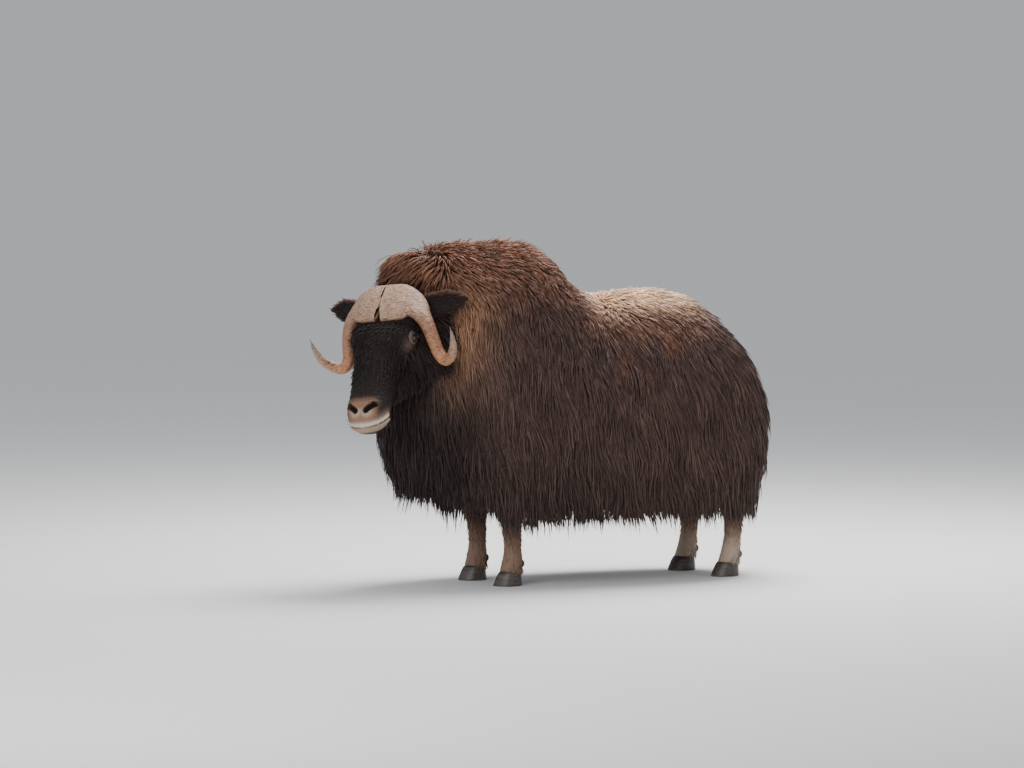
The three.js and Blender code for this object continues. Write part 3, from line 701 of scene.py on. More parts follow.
def strand_piece(name, parts, place=None):
    """One mesh from strands that all have the same number of rings."""
    points, tints, places = (np.concatenate(group) for group in zip(*parts))
    count, size, _ = points.shape
    template = strand_faces((size - 1) // 3)
    faces = (np.arange(count)[:, None, None] * size + template[None]).reshape(-1, 3)
    mesh = bpy.data.meshes.new(name)
    mesh.vertices.add(count * size)
    placed = place(points) if place else points
    mesh.vertices.foreach_set("co", to_row(placed).astype(np.float32).ravel())
    mesh.loops.add(faces.size)
    mesh.loops.foreach_set("vertex_index", faces.ravel().astype(np.int32))
    mesh.polygons.add(len(faces))
    mesh.polygons.foreach_set("loop_start", np.arange(0, faces.size, 3, dtype=np.int32))
    mesh.update(calc_edges=True)
    finish_mesh(mesh, tints.reshape(-1, 3), places.reshape(-1, 2)[faces.ravel()])
    mesh.materials.append(bpy.data.materials.get("muskox_hair") or hair_material())
    return linked(name, mesh)


def scatter(count, dimensions, start=0):
    """Points spread evenly over the unit square or cube, always the same."""
    golden = {2: 1.32471795724, 3: 1.22074408461}[dimensions]
    steps = np.array([golden ** -(k + 1) for k in range(dimensions)])
    return np.mod(0.5 + (np.arange(start, start + count)[:, None] + 1) * steps, 1)


def bunch(path, roots, spacing, pull):
    """Draws the tips of strands together into locks, each round the strand nearest its middle."""
    step = max(2, int(spacing))
    leaders = np.arange(0, len(path), step)
    tree = kdtree.KDTree(len(leaders))
    for k, index in enumerate(leaders):
        tree.insert(roots[index], k)
    tree.balance()
    nearest = leaders[[tree.find(root)[1] for root in roots]]
    t = np.linspace(0, 1, path.shape[1])[None, :, None]
    return path + (path[nearest] - path) * pull[:, None, None] * t**1.3


# The long coat of the body

STEPS_ALONG = 5  # points on the path of one tuft of the body
LOCK_SIZE = 11  # tufts drawn together into one lock
FLYAWAYS = 0.12  # share of the tufts that stand out of the coat
STRAY = 0.16  # how far tufts turn from the way of their neighbours
ROOT_SHARE, SKIN_SHARE = -0.12, -0.15  # depth of roots and of the skin, below the foot of the coat


def lie(points):
    """The way the hair of the body grows, before it is laid along the surface."""
    x, y, z = points[..., 0], points[..., 1], points[..., 2]
    back = 0.14 + 0.5 * smooth(1050, 1350, z) * smooth(100, 300, x) + 0.16 * smooth(300, 800, x)
    back = mix(back, -0.8, smooth(660, 920, x) * smooth(1180, 1330, z))
    drift = 0.2 * np.sin(x / 83 + z / 61 + 1.3 * np.sin(y / 170)) + 0.14 * np.sin(x / 37 - z / 47 + 2)
    return np.stack([drift - back, 0.12 * np.sin(z / 53 + x / 90), -np.ones_like(x)], axis=-1)


def hair_length(points, level):
    x = points[..., 0]
    length = mix(215, 105, smooth(0.4, 0.85, level))
    saddle = smooth(-450, -330, x) * smooth(170, 60, x) * smooth(0.78, 0.93, level)
    length = mix(length, 62, saddle)
    brow = smooth(800, 880, x) * smooth(0.86, 0.93, level)
    length = mix(length, 85, brow)
    return length * mix(1, 1.15, smooth(550, 800, x) * (1 - brow))


def trace(climb, turn, length, steps, tip_share, stray):
    """Paths laid along the body from their roots, rising from the skin to the tips of the coat."""
    e, parts = 1e-3, 3
    path, outward = [], []
    for k in range(steps):
        t = k / (steps - 1)
        here = body_point(climb, turn, mix(ROOT_SHARE, tip_share, 1 - (1 - t) ** 2))
        path.append(here)
        for part in range(parts):
            at = np.minimum(climb, RIDGE - e)
            rise = (body_point(at + e, turn, 1) - body_point(at - e, turn, 1)) / (2 * e)
            walk = (body_point(at, turn + e, 1) - body_point(at, turn - e, 1)) / (2 * e)
            if part == 0:
                outward.append(unit(np.cross(walk, rise)))
            way = lie(here) + stray
            a, b, c = (rise * rise).sum(-1), (rise * walk).sum(-1), (walk * walk).sum(-1)
            d, f = (rise * way).sum(-1), (walk * way).sum(-1)
            det = np.maximum(a * c - b * b, 1e-6)
            up, round_ = (c * d - b * f) / det, (a * f - b * d) / det
            size = np.linalg.norm(rise * up[:, None] + walk * round_[:, None], axis=-1)
            pace = length / (steps - 1) / parts / np.maximum(size, 1e-9)
            climb = np.minimum(climb + up * pace, RIDGE)
            turn = turn + np.clip(round_ * pace, -0.3, 0.3)
    return np.stack(path, axis=1), np.stack(outward, axis=1)


def body_roots(wanted, start):
    """Roots spread over the body in step with its area: climb and share of the walk round."""
    tries = scatter(wanted * 3, 3, start)
    climb, part = mix(0.008, 0.995, tries[:, 0]), tries[:, 1]
    e = 1e-3
    rise = (body_point(climb + e, stride(part), 0) - body_point(climb - e, stride(part), 0)) / (2 * e)
    walk = (body_point(climb, stride(part + e), 0) - body_point(climb, stride(part - e), 0)) / (2 * e)
    area = np.linalg.norm(np.cross(rise, walk), axis=-1)
    kept = tries[:, 2] < area / np.quantile(area, 0.97)
    return climb[kept][:wanted], part[kept][:wanted]


def clear_of_head(path):
    """Which strands stay out of the head, horns and ears."""
    local = to_head(path)
    clear = ~inside_head(local[:, 1:], 4).any(1)
    x, y, z = local[..., 0], local[..., 1], local[..., 2]
    face = (x > -60) & (x < 560) & (np.abs(y) < 142) & (z > -190) & (z < 160)
    clear &= ~face.any(1)
    line = horn_line(40)
    wide = HORN_HALF(np.linspace(0, 1, 40)) + 6
    for side in (1, -1):
        for middle, reach in zip(line * [1, side, 1], wide):
            clear &= (np.linalg.norm(local - middle, axis=-1) > min(reach, 44)).all(1)
        ear = mix(EAR_ROOT, EAR_TIP, np.linspace(0.15, 1, 8)[:, None]) * [1, side, 1]
        for middle in ear:
            clear &= (np.linalg.norm(local - middle, axis=-1) > 26).all(1)
    return clear


def body_coat(wanted, half, seed, reach):
    """All the strands of the body, as arrays in step with each other."""
    rng = np.random.default_rng(seed)
    climb, part = body_roots(wanted, 11)
    level, turn = np.sin(climb * math.pi / 2), stride(part)
    roots = coat_point(level, turn, 0)
    count = len(level)
    length = hair_length(roots, level) * rng.uniform(0.7, 1.2, count) * reach
    room = np.maximum(level + rng.uniform(0.0, 0.05, count), 0.02) * 1100
    length = np.minimum(length, np.maximum(room, 40))
    tip_share = rng.uniform(0.6, 1.02, count) + 0.2 * smooth(0.75, 0.95, level)
    tip_share += rng.uniform(0.1, 0.35, count) * (rng.random(count) < FLYAWAYS)
    stray = rng.normal(0, STRAY, (count, 3)) * [1, 1, 0]
    path, outward = trace(climb, turn, length, STEPS_ALONG, tip_share, stray)
    path = bunch(path, roots, LOCK_SIZE, rng.uniform(0.05, 0.5, count))
    waver = rng.normal(0, 1, (count, 1, 3)) * np.linspace(0, 1, STEPS_ALONG)[None, :, None] ** 1.5
    path = path + waver * (length * 0.03)[:, None, None]
    tint = varied(body_tint(roots), rng, 0.72, 1.3)
    half = half * mix(0.75, 1, smooth(60, 160, length))
    data = uneven_strands(path, outward, half, tint, spot("body", part, climb), rng, 0.45)
    clear = clear_of_head(path)
    return [d[clear] for d in data], roots[clear]


def nape_coat(count, half, rng):
    """Dark strands between the horns, the ears and the mane."""
    tries = scatter(count, 2, 23)
    t, angle = mix(0.25, 1.0, tries[:, 0]), tries[:, 1] * 2 * math.pi
    roots = nape_point(t, angle)
    outward = np.stack([0.25 + 0 * t, np.cos(angle), np.sin(angle)], -1)
    way = np.stack([-0.45 + 0 * t, 0.2 * np.cos(angle), -1 + 0 * t], -1)
    way = unit(way - outward * (way * outward).sum(-1, keepdims=True) * 0.8)
    length = 95 * rng.uniform(0.7, 1.2, count)
    path, out = straight(roots, outward, way, length, rng.uniform(0.1, 0.45, count), STEPS_ALONG, rng)
    tint = blend_in(np.broadcast_to(NIGHT, roots.shape), DARK, 0.4 * rng.random(count))
    data = uneven_strands(path, out, half, tint, spot("nape", tries[:, 1], t), rng, 0)
    clear = clear_of_head(path)
    return [d[clear] for d in data]


# Shorter hair of head, ears, legs and tail


def straight(roots, outward, way, length, lift, steps, rng, spread=0.12):
    """Strands that leave the skin along a way and lift off it by a share of their length."""
    t = np.linspace(0, 1, steps)[None, :, None]
    way = unit(way + rng.normal(0, spread, way.shape))
    rise = np.asarray(lift)[:, None] * outward
    path = roots[:, None] - outward[:, None] * 2 + way[:, None] * length[:, None, None] * t
    path = path + rise[:, None] * length[:, None, None] * t * (1.4 - 0.4 * t)
    return path, np.broadcast_to(outward[:, None], path.shape)


def head_roots(count, start=5):
    tries = scatter(count * 3, 3, start)
    x, angle = mix(-150, 486, tries[:, 0]), mix(-math.pi, math.pi, tries[:, 1])
    e = 1e-2
    down = (head_point(x + 1, angle) - head_point(x - 1, angle)) / 2
    round_ = (head_point(x, angle + e) - head_point(x, angle - e)) / (2 * e)
    cross = np.cross(down, round_)
    area = np.linalg.norm(cross, axis=-1)
    dense = mix(1.0, 2.2, smooth(300, 400, x))
    kept = tries[:, 2] < area * dense / np.quantile(area, 0.98) / 2.2
    outward = unit(cross)
    outward *= np.sign((outward * np.stack([0 * x, np.cos(angle), np.sin(angle)], -1)).sum(-1))[:, None]
    return x[kept][:count], angle[kept][:count], unit(down)[kept][:count], outward[kept][:count]


def bare_places(points):
    """Parts of the head without hair: eyes, nostrils, mouth and the pad of the nose."""
    x, y, z = points[..., 0], points[..., 1], points[..., 2]
    side = np.abs(y)
    along, above = mouth_place(x, z)
    eye = np.hypot(x - EYE[0], z - EYE[2]) < 29
    eye &= side > 90
    mouth = (np.abs(above) < 5) & (along > -4)
    nostril = (nostril_place(x, side)[0] < 12) & (z > -50)
    pad = (x > 398) & (z > -30) & (side < 30) & (above > 14)
    boss = (x < -16) & (z > -110) & (side > 9)
    return eye | mouth | nostril | pad | boss


def face_coat(count, rng):
    x, angle, down, outward = head_roots(count)
    roots = head_point(x, angle)
    keep = ~bare_places(roots)
    x, angle, down, outward, roots = (a[keep] for a in (x, angle, down, outward, roots))
    low = smooth(0.25, -0.35, np.sin(angle))
    length = mix(30, 9, smooth(180, 400, x))
    length = mix(length, 74, low * smooth(300, 60, x)) * rng.uniform(0.7, 1.25, len(x))
    eye = np.hypot(x - EYE[0], roots[:, 2] - EYE[2])
    length = mix(6, length, smooth(28, 70, eye))
    hang = low * smooth(330, 100, x)
    way = unit(mix(down, np.broadcast_to(HANG, down.shape), hang[:, None]))
    side = np.stack([0 * x, np.cos(angle), 0 * x], -1)
    way = unit(way + 0.25 * side * smooth(150, 60, x)[:, None])
    lift = mix(0.16, 0.34, smooth(0, 60, length)) * rng.uniform(0.7, 1.3, len(x))
    path, out = straight(roots, outward, way, length, lift, 4, rng)
    tint = varied(head_tint(roots), rng, 0.75, 1.35)
    return uneven_strands(path, out, mix(1.3, 3.4, smooth(8, 70, length)), tint, head_spot(x, angle), rng)


def beard(count, rng):
    """Long hair hanging from cheek, jaw and throat."""
    tries = scatter(count, 2, 3)
    x = mix(-120, 265, tries[:, 0])
    angle = np.radians(mix(-168, -12, tries[:, 1]))
    roots = head_point(x, angle)
    outward = np.stack([0 * x, np.cos(angle), np.sin(angle)], -1)
    length = mix(170, 62, smooth(0, 250, x)) * rng.uniform(0.65, 1.15, count)
    length *= mix(0.6, 1, smooth(-0.1, -0.6, np.sin(angle)))
    t = np.linspace(0, 1, 5)[None, :, None]
    bulge = np.stack([0 * x, np.cos(angle), 0.3 * np.sin(angle)], -1)[:, None]
    path = roots[:, None] - outward[:, None] * 4 + HANG * length[:, None, None] * t
    path = path + bulge * length[:, None, None] * 0.34 * t * (1.6 - t)
    path = path + rng.normal(0, 1, (count, 1, 3)) * (length * 0.05)[:, None, None] * t**1.4
    path = bunch(path, roots, 14, rng.uniform(0.3, 0.8, count))
    tint = varied(blend_in(head_tint(roots), DARK, 0.5 * smooth(150, -50, x)), rng, 0.75, 1.3)
    out = np.broadcast_to(outward[:, None], path.shape)
    return uneven_strands(path, out, 4.2, tint, head_spot(x, angle), rng, 0.5)


def ear_coat(count, rng):
    parts = []
    for side_index, (_, side) in enumerate(SIDES):
        tries = scatter(count, 2, 17)
        t = mix(0.02, 0.99, tries[:, 0])
        edge = rng.random(count) < 0.45
        rim = rng.choice([0, math.pi], count) + rng.normal(0, 0.2, count)
        angle = np.where(edge, rim, tries[:, 1] * 2 * math.pi)
        roots = ear_point(t, angle, side)
        across = ear_point(t, angle + 0.05, side) - ear_point(t, angle - 0.05, side)
        up = ear_point(np.minimum(t + 0.02, 1), angle, side) - ear_point(t - 0.02, angle, side)
        outward = unit(np.cross(across, up)) * side
        centre = mix(EAR_ROOT, EAR_TIP, t[:, None]) * [1, side, 1]
        outward *= np.where(((roots - centre) * outward).sum(-1) < -6, -1, 1)[:, None]
        way = unit(unit(up) + 0.35 * unit(roots - centre) * edge[:, None])
        length = mix(24, 30, edge) * rng.uniform(0.6, 1.2, count)
        path, out = straight(roots, outward, way, length, np.full(count, 0.12), 4, rng)
        tint = blend_in(np.broadcast_to(NIGHT, roots.shape), DARK, 0.5 * rng.random(count))
        upper = edge & (roots[:, 0] < centre[:, 0])
        tint = varied(blend_in(tint, RUSSET, 0.45 * upper), rng, 0.7, 1.3)
        places = spot("ears", (side_index + angle / (2 * math.pi) % 1) / 2, t)
        parts.append(uneven_strands(path, out, 2.2, tint, places, rng))
    return parts


def leg_coat(count, rng):
    parts = []
    for index, (kind, at) in enumerate(FEET.values()):
        tries = scatter(count, 2, 7)
        z, angle = mix(60, 500, tries[:, 0]), tries[:, 1] * 2 * math.pi
        roots = leg_point(kind, at, z, angle)
        outward = np.stack([np.cos(angle), np.sin(angle), 0 * z], -1)
        length = mix(20, 42, smooth(120, 420, z)) * rng.uniform(0.7, 1.25, count)
        length = mix(length, 34, mound(z - 78, 16)) * mix(1, 0.8, smooth(90, 60, z))
        length = np.minimum(length, np.maximum(z - 34, 8))
        way = np.broadcast_to([-0.06, 0, -1.0], roots.shape)
        path, out = straight(roots, outward, way, length, np.full(count, 0.2), 4, rng, 0.08)
        tint = varied(leg_tint(roots), rng, 0.75, 1.3)
        places = spot("legs", (index + angle / (2 * math.pi)) / 4, z / LEG_TOP)
        parts.append(uneven_strands(path, out, 2.6, tint, places, rng))
    return parts


def tail_coat(count, rng):
    tries = scatter(count, 2, 2)
    t, angle = tries[:, 0], tries[:, 1] * 2 * math.pi
    roots = tail_point(t, angle)
    outward = np.stack([np.sin(angle), np.cos(angle), 0 * t], -1)
    length = 70 * rng.uniform(0.7, 1.2, count)
    way = np.broadcast_to([-0.1, 0, -1.0], roots.shape)
    path, out = straight(roots, outward, way, length, np.full(count, 0.1), 4, rng)
    path[..., 0] = np.maximum(path[..., 0], -826)
    tint = varied(np.broadcast_to(DEEP, roots.shape), rng, 0.75, 1.3)
    return [uneven_strands(path, out, 3.4, tint, spot("tail", angle / (2 * math.pi), t), rng)]


def tail_point(t, angle):
    t, angle = np.broadcast_arrays(np.asarray(t, float), np.asarray(angle, float))
    p = mix(TAIL_ROOT, TAIL_TIP, t[..., None])
    p[..., 0] += np.sin(angle) * 22 - 12 * np.sin(t * math.pi)
    p[..., 1] += np.cos(angle) * TAIL_HALF(t)
    return p


# Skin


def core_grid(around=180, levels=60):
    climb = np.linspace(0, 0.98, levels + 1)[:, None]
    return body_point(climb, stride(np.arange(around) / around)[None], SKIN_SHARE)


def head_grid(around=260, along=210):
    """Rings down the head, closer together at the eyes and on the muzzle."""
    x = np.linspace(*HEAD_ENDS, 2000)
    crowd = 1 + 1.4 * mound(x - EYE[0], 40) + 1.6 * smooth(330, 400, x)
    rank = np.cumsum(crowd) / crowd.sum()
    rings = np.interp(np.linspace(rank[0], 1, along), rank, x)
    a = np.linspace(-math.pi, math.pi, 2000)
    crowd = 1 + 1.2 * mound(a, 0.4) + 1.2 * mound(np.abs(a) - math.pi, 0.4)
    rank = np.cumsum(crowd) / crowd.sum()
    angles = np.interp(np.arange(around) / around, rank, a)
    grid = head_point(rings[:, None], angles[None], detail=True)
    return sink_sockets(grid)


def sink_sockets(grid):
    """Draws the skin in behind each eye, where the lids close over it."""
    side = np.sign(grid[..., 1])
    d = np.hypot(grid[..., 0] - EYE[0], grid[..., 2] - EYE[2])
    near = smooth(24, 15, d) * (np.abs(grid[..., 1]) > 90)
    grid[..., 1] = mix(grid[..., 1], side * (EYE[1] - 4), near)
    return grid


SLIT = unit(np.array([0.45, 0.89]))  # the way from the outer to the inner corner of the eye, in x and z


def lid_grid(side, around=72):
    """The padded rim of both lids: it hugs the ball inside and runs out under the skin."""
    profile = np.array(
        [
            [-0.5, -2.5], [0.0, 0.6], [0.6, 2.6], [2.6, 3.6], [5.0, 3.2], [7.0, 1.6], [8.6, 1.4],
            [10.6, 3.0], [13.0, 2.6], [17.0, -1.0], [20.0, -6.0], [12.0, -9.0], [4.0, -7.0],
        ]
    )
    phi = round_turns(around)
    long, high = 16.5, 10.0
    corner = np.abs(np.cos(phi)) ** 3
    ring = []
    for out, lift in profile:
        upper = np.where(np.sin(phi) > 0, 1.15, 0.9)
        a = long * np.cos(phi) + out * upper * np.cos(phi)
        b = high * np.sin(phi) * (1 - 0.25 * corner) + out * upper * np.sin(phi)
        d = np.hypot(a, b)
        ball = EYE[1] + np.sqrt(np.maximum((EYE_RADIUS + lift) ** 2 - d**2, 0))
        flat = 146 + lift * 0.6 - 0.05 * np.maximum(d - 20, 0)
        y = mix(ball, flat, smooth(12, 21, d))
        x = EYE[0] + a * SLIT[0] - b * SLIT[1]
        z = EYE[2] + a * SLIT[1] + b * SLIT[0]
        ring.append(np.stack([x, side * y, z], axis=-1))
    return np.stack(ring, axis=0)


def leg_grid(kind, at, around=48, along=60):
    z = np.linspace(LEG_TOP, HOOF_HEIGHT, along)
    return leg_point(kind, at, z[:, None], round_turns(around)[None])


def ball_grid(centre, radii, around=20, along=12):
    a = np.linspace(0.08, math.pi - 0.08, along)[:, None]
    b = round_turns(around)[None]
    unit_ball = np.stack(np.broadcast_arrays(np.sin(a) * np.cos(b), np.sin(a) * np.sin(b), np.cos(a)), -1)
    return unit_ball * radii + centre


NAPE_START, NAPE_END = np.array([690.0, 30.0, 1010.0]), np.array([985.0, 85.0, 1075.0])


def nape_point(t, angle):
    t, angle = np.broadcast_arrays(np.asarray(t, float), np.asarray(angle, float))
    p = mix(NAPE_START, NAPE_END, t[..., None])
    p[..., 1] += np.cos(angle) * mix(170, 115, t)
    p[..., 2] += np.sin(angle) * mix(220, 125, t)
    return p


def nape_grid(around=40, along=10):
    return nape_point(np.linspace(0, 1, along)[:, None], round_turns(around)[None])


HORN_AROUND, HORN_ALONG = 64, 170
WEDGE = 11  # half the width that the parting of the horns gains at its foot


def horn_ridges(a, b, side):
    """Unevenness of the boss at a place along and across it."""
    coarse = noise.noise(Vector((a * 5.0, b * 1.6, side * 3.0)))
    return coarse + 0.6 * noise.noise(Vector((a * 16.0, b * 5.0, 9.0)))


def horn_grid(side):
    """Place of each ring along the horn, and the rings, rough on the boss."""
    line = horn_line()
    t = np.linspace(0, 1, HORN_ALONG)
    p = np.stack([np.interp(t, np.linspace(0, 1, len(line)), line[:, k]) for k in range(3)], -1)
    tangent = unit(np.gradient(p, axis=0))
    wide = mix(BOSS_WAY, SHANK_WAY, smooth(0.15, 0.45, t)[:, None])
    wide = unit(wide - tangent * (wide * tangent).sum(-1, keepdims=True))
    thick = np.cross(tangent, wide)
    angle = round_turns(HORN_AROUND)
    c, v = power(np.cos(angle), 0.9)[None, :, None], power(np.sin(angle), 0.8)[None, :, None]
    rough = smooth(0.42, 0.2, t)[:, None]
    across = np.cos(angle) * 3.0 + np.sin(angle) * 1.3
    ridges = np.array([[horn_ridges(a, b, side) for b in across] for a in t])
    pads = -3.5 + 3.4 * ridges * rough + 0.35 * np.sin(t * 160)[:, None] * (1 - rough)
    least = np.maximum(HORN_HALF(t)[:, None, None] * 0.35, 1)
    half = np.maximum((HORN_HALF(t)[:, None] + np.minimum(pads, 0))[..., None], least)
    deep = np.maximum((HORN_THICK(t)[:, None] + np.minimum(pads, 0))[..., None], least * 0.9)
    grid = p[:, None] + wide[:, None] * c * half + thick[:, None] * v * deep
    wedge = WEDGE * smooth(-95, -8, grid[..., 0]) * smooth(0.2, 0.0, t)[:, None]
    grid[..., 1] = np.maximum(grid[..., 1], PARTING + wedge + t[:, None]) * side
    return t, grid


def eye_grid(side):
    """Share of the way from the pupil to the rim for each ring of the ball, and the rings."""
    a = np.linspace(0.02, math.pi - 0.02, 48)
    b = round_turns(64)[None]
    sweep, rise = np.sin(a)[:, None], np.cos(a)[:, None]
    ring = np.stack(np.broadcast_arrays(sweep * np.cos(b), rise, sweep * np.sin(b)), -1)
    cornea = 1 + 0.06 * mound(a, 0.42)[:, None, None]
    return np.minimum(a / 1.2, 1), (ring * cornea * (EYE_RADIUS - GAP) + EYE) * [1, side, 1]


# Materials


def node_material(name, looks):
    """A new material of one shader, whose inputs the looks set, and short ways to add and join nodes."""
    material = bpy.data.materials.new(name)
    material.use_nodes = True
    tree = material.node_tree
    tree.nodes.clear()
    output = tree.nodes.new("ShaderNodeOutputMaterial")
    shader = tree.nodes.new("ShaderNodeBsdfPrincipled")
    tree.links.new(shader.outputs["BSDF"], output.inputs["Surface"])
    for key, value in looks.items():
        shader.inputs[key].default_value = value

    def add(kind, **settings):
        node = tree.nodes.new(kind)
        for key, value in settings.items():
            if hasattr(node, key):
                setattr(node, key, value)
            else:
                node.inputs[key.replace("_", " ").title()].default_value = value
        return node

    return material, shader, add, tree.links.new


def place_node(add, link, scale):
    """Object coordinates stretched by a scale for each axis."""
    mapping = add("ShaderNodeMapping")
    mapping.inputs["Scale"].default_value = scale
    link(add("ShaderNodeTexCoord").outputs["Object"], mapping.inputs["Vector"])
    return mapping.outputs["Vector"]


def ranged(add, link, source, start, end, low, high):
    """The Fac of a node, carried from the range of start and end to that of low and high."""
    levels = add("ShaderNodeMapRange")
    for key, value in zip(("From Min", "From Max", "To Min", "To Max"), (start, end, low, high)):
        levels.inputs[key].default_value = value
    link(source.outputs["Fac"], levels.inputs["Value"])
    return levels.outputs["Result"]


def roughen(add, link, shader, source, strength, distance):
    """Bumps of the Fac of a node on the shader."""
    bump = add("ShaderNodeBump", strength=strength, distance=distance)
    link(source.outputs["Fac"], bump.inputs["Height"])
    link(bump.outputs["Normal"], shader.inputs["Normal"])


def tinted(add, link, darker, lighter, noise_node):
    """The markings and painted shade and light of the tint attribute, made darker and lighter by a noise."""
    tint = add("ShaderNodeAttribute", attribute_name=TINT)
    product = add("ShaderNodeVectorMath", operation="SCALE")
    link(tint.outputs["Color"], product.inputs[0])
    link(ranged(add, link, noise_node, 0, 1, darker, lighter), product.inputs["Scale"])
    return product.outputs["Vector"]


def hair_material():
    looks = {
        "Roughness": 0.5, "Specular IOR Level": 0.18,
        "Sheen Weight": 0.06, "Sheen Roughness": 0.4, "Sheen Tint": (0.75, 0.6, 0.62, 1),
    }
    material, shader, add, link = node_material("muskox_hair", looks)
    fine = add("ShaderNodeTexNoise", scale=1.0, detail=3.0)
    link(place_node(add, link, (150, 150, 26)), fine.inputs["Vector"])
    link(tinted(add, link, 0.6, 1.4, fine), shader.inputs["Base Color"])
    return material


def skin_material():
    looks = {"Roughness": 0.78, "Specular IOR Level": 0.25}
    material, shader, add, link = node_material("muskox_skin", looks)
    fine = add("ShaderNodeTexNoise", scale=1.0, detail=6.0)
    link(place_node(add, link, (420, 420, 160)), fine.inputs["Vector"])
    link(tinted(add, link, 0.55, 1.25, fine), shader.inputs["Base Color"])
    roughen(add, link, shader, fine, 0.5, 0.0015)
    return material


def ramp(add, link, source, stops):
    node = add("ShaderNodeValToRGB")
    elements = node.color_ramp.elements
    while len(elements) < len(stops):
        elements.new(0.5)
    for element, (position, colour) in zip(elements, stops):
        element.position = position
        element.color = (*colour, 1)
    link(source, node.inputs["Fac"])
    return node.outputs["Color"]


def horn_material():
    material, shader, add, link = node_material("muskox_horn", {})
    along = add("ShaderNodeAttribute", attribute_name=ALONG)
    base = ramp(
        add, link, along.outputs["Fac"],
        [
            # the lighter orange at 0.68 along the shank is partly the horn's own colour and partly a painted
            # highlight
            (0.0, rgb(170, 134, 108)), (0.22, rgb(160, 124, 100)), (0.42, rgb(152, 106, 78)),
            (0.68, rgb(188, 130, 90)), (0.86, rgb(160, 130, 110)), (1.0, rgb(120, 112, 106)),
        ],
    )
    flecks = add("ShaderNodeTexNoise", scale=260.0, detail=6.0, roughness=0.75)
    link(place_node(add, link, (1, 1, 1)), flecks.inputs["Vector"])
    pale = ramp(add, link, flecks.outputs["Fac"], [(0.54, (0, 0, 0)), (0.64, (1, 1, 1))])
    scurf = add("ShaderNodeMix", data_type="RGBA")
    scurf.inputs["B"].default_value = (*rgb(246, 218, 188), 1)
    link(base, scurf.inputs["A"])
    amount = add("ShaderNodeMath", operation="MULTIPLY")
    link(pale, amount.inputs[0])
    link(ranged(add, link, along, 0.45, 0.2, 0, 0.7), amount.inputs[1])
    link(amount.outputs["Value"], scurf.inputs["Factor"])
    cracks = add("ShaderNodeTexNoise", scale=1.0, detail=8.0, roughness=0.65)
    link(place_node(add, link, (60, 60, 220)), cracks.inputs["Vector"])
    # darker where the cracks noise is low, which is also where its bump sinks
    crack_darkening = ramp(add, link, cracks.outputs["Fac"], [(0.36, rgb(92, 68, 56)), (0.56, (1, 1, 1))])
    crack_darkened = add("ShaderNodeMix", data_type="RGBA", blend_type="MULTIPLY")
    crack_darkened.inputs["Factor"].default_value = 0.75
    link(scurf.outputs["Result"], crack_darkened.inputs["A"])
    link(crack_darkening, crack_darkened.inputs["B"])
    link(crack_darkened.outputs["Result"], shader.inputs["Base Color"])
    link(ranged(add, link, along, 0, 1, 0.62, 0.3), shader.inputs["Roughness"])
    roughen(add, link, shader, cracks, 0.9, 0.004)
    return material


def hoof_material():
    material, shader, add, link = node_material("muskox_hoof", {"Roughness": 0.45})
    rings = add("ShaderNodeTexNoise", scale=1.0, detail=5.0)
    link(place_node(add, link, (30, 30, 240)), rings.inputs["Vector"])
    colour = ramp(add, link, rings.outputs["Fac"], [(0.3, rgb(34, 29, 27)), (0.7, rgb(86, 76, 68))])
    link(colour, shader.inputs["Base Color"])
    roughen(add, link, shader, rings, 0.4, 0.001)
    return material


def eye_material():
    looks = {"Roughness": 0.06, "Coat Weight": 1.0, "Coat Roughness": 0.03}
    material, shader, add, link = node_material("muskox_eye", looks)
    along = add("ShaderNodeAttribute", attribute_name=ALONG)
    colour = ramp(
        add, link, along.outputs["Fac"],
        [(0.0, rgb(10, 7, 6)), (0.32, rgb(12, 8, 7)), (0.4, rgb(66, 38, 22)), (0.62, rgb(44, 24, 15)),
         (0.7, rgb(20, 13, 11)), (1.0, rgb(70, 58, 52))],
    )
    link(colour, shader.inputs["Base Color"])
    return material


def plain_material(name, colour, roughness):
    return node_material(name, {"Base Color": (*colour, 1), "Roughness": roughness})[0]


# Settings: one group for the coat and one for the stage


class MuskoxCoatSettings(bpy.types.PropertyGroup):
    """Hair of the body, head and legs"""

    body_count: IntProperty(
        name="Body tufts", description="Tufts on body and neck", default=50000, min=1000
    )
    face_count: IntProperty(
        name="Face tufts", description="Short tufts on the head", default=11000, min=500
    )
    beard_count: IntProperty(
        name="Beard tufts", description="Long tufts of cheek and throat", default=3600, min=100
    )
    leg_count: IntProperty(name="Leg tufts", description="Tufts on each leg", default=1700, min=100)
    ear_count: IntProperty(name="Ear tufts", description="Tufts on each ear", default=900, min=50)
    half_width: FloatProperty(
        name="Half width", description="Half the width of a body tuft",
        default=0.0038, unit="LENGTH", subtype="DISTANCE",
    )
    reach: FloatProperty(
        name="Reach", description="Length of the body's hair against the real one", default=1.0
    )
    seed: IntProperty(name="Seed", description="Draw of the random turns of the tufts", default=4)


class MuskoxStageSettings(bpy.types.PropertyGroup):
    """Floor, light and camera"""

    floor_colour: FloatVectorProperty(
        name="Floor", description="Colour of the floor", subtype="COLOR", size=3, default=(0.72, 0.71, 0.69)
    )
    key_power: FloatProperty(
        name="Key light", description="Power of the main lamp", default=520.0, unit="POWER"
    )
    fill_power: FloatProperty(
        name="Fill light", description="Power of the lamp in front", default=240.0, unit="POWER"
    )
    camera_distance: FloatProperty(
        name="Camera distance", description="From camera to animal", default=28.0, unit="LENGTH"
    )
    camera_lens: FloatProperty(name="Lens", description="Focal length in millimetres", default=230.0)


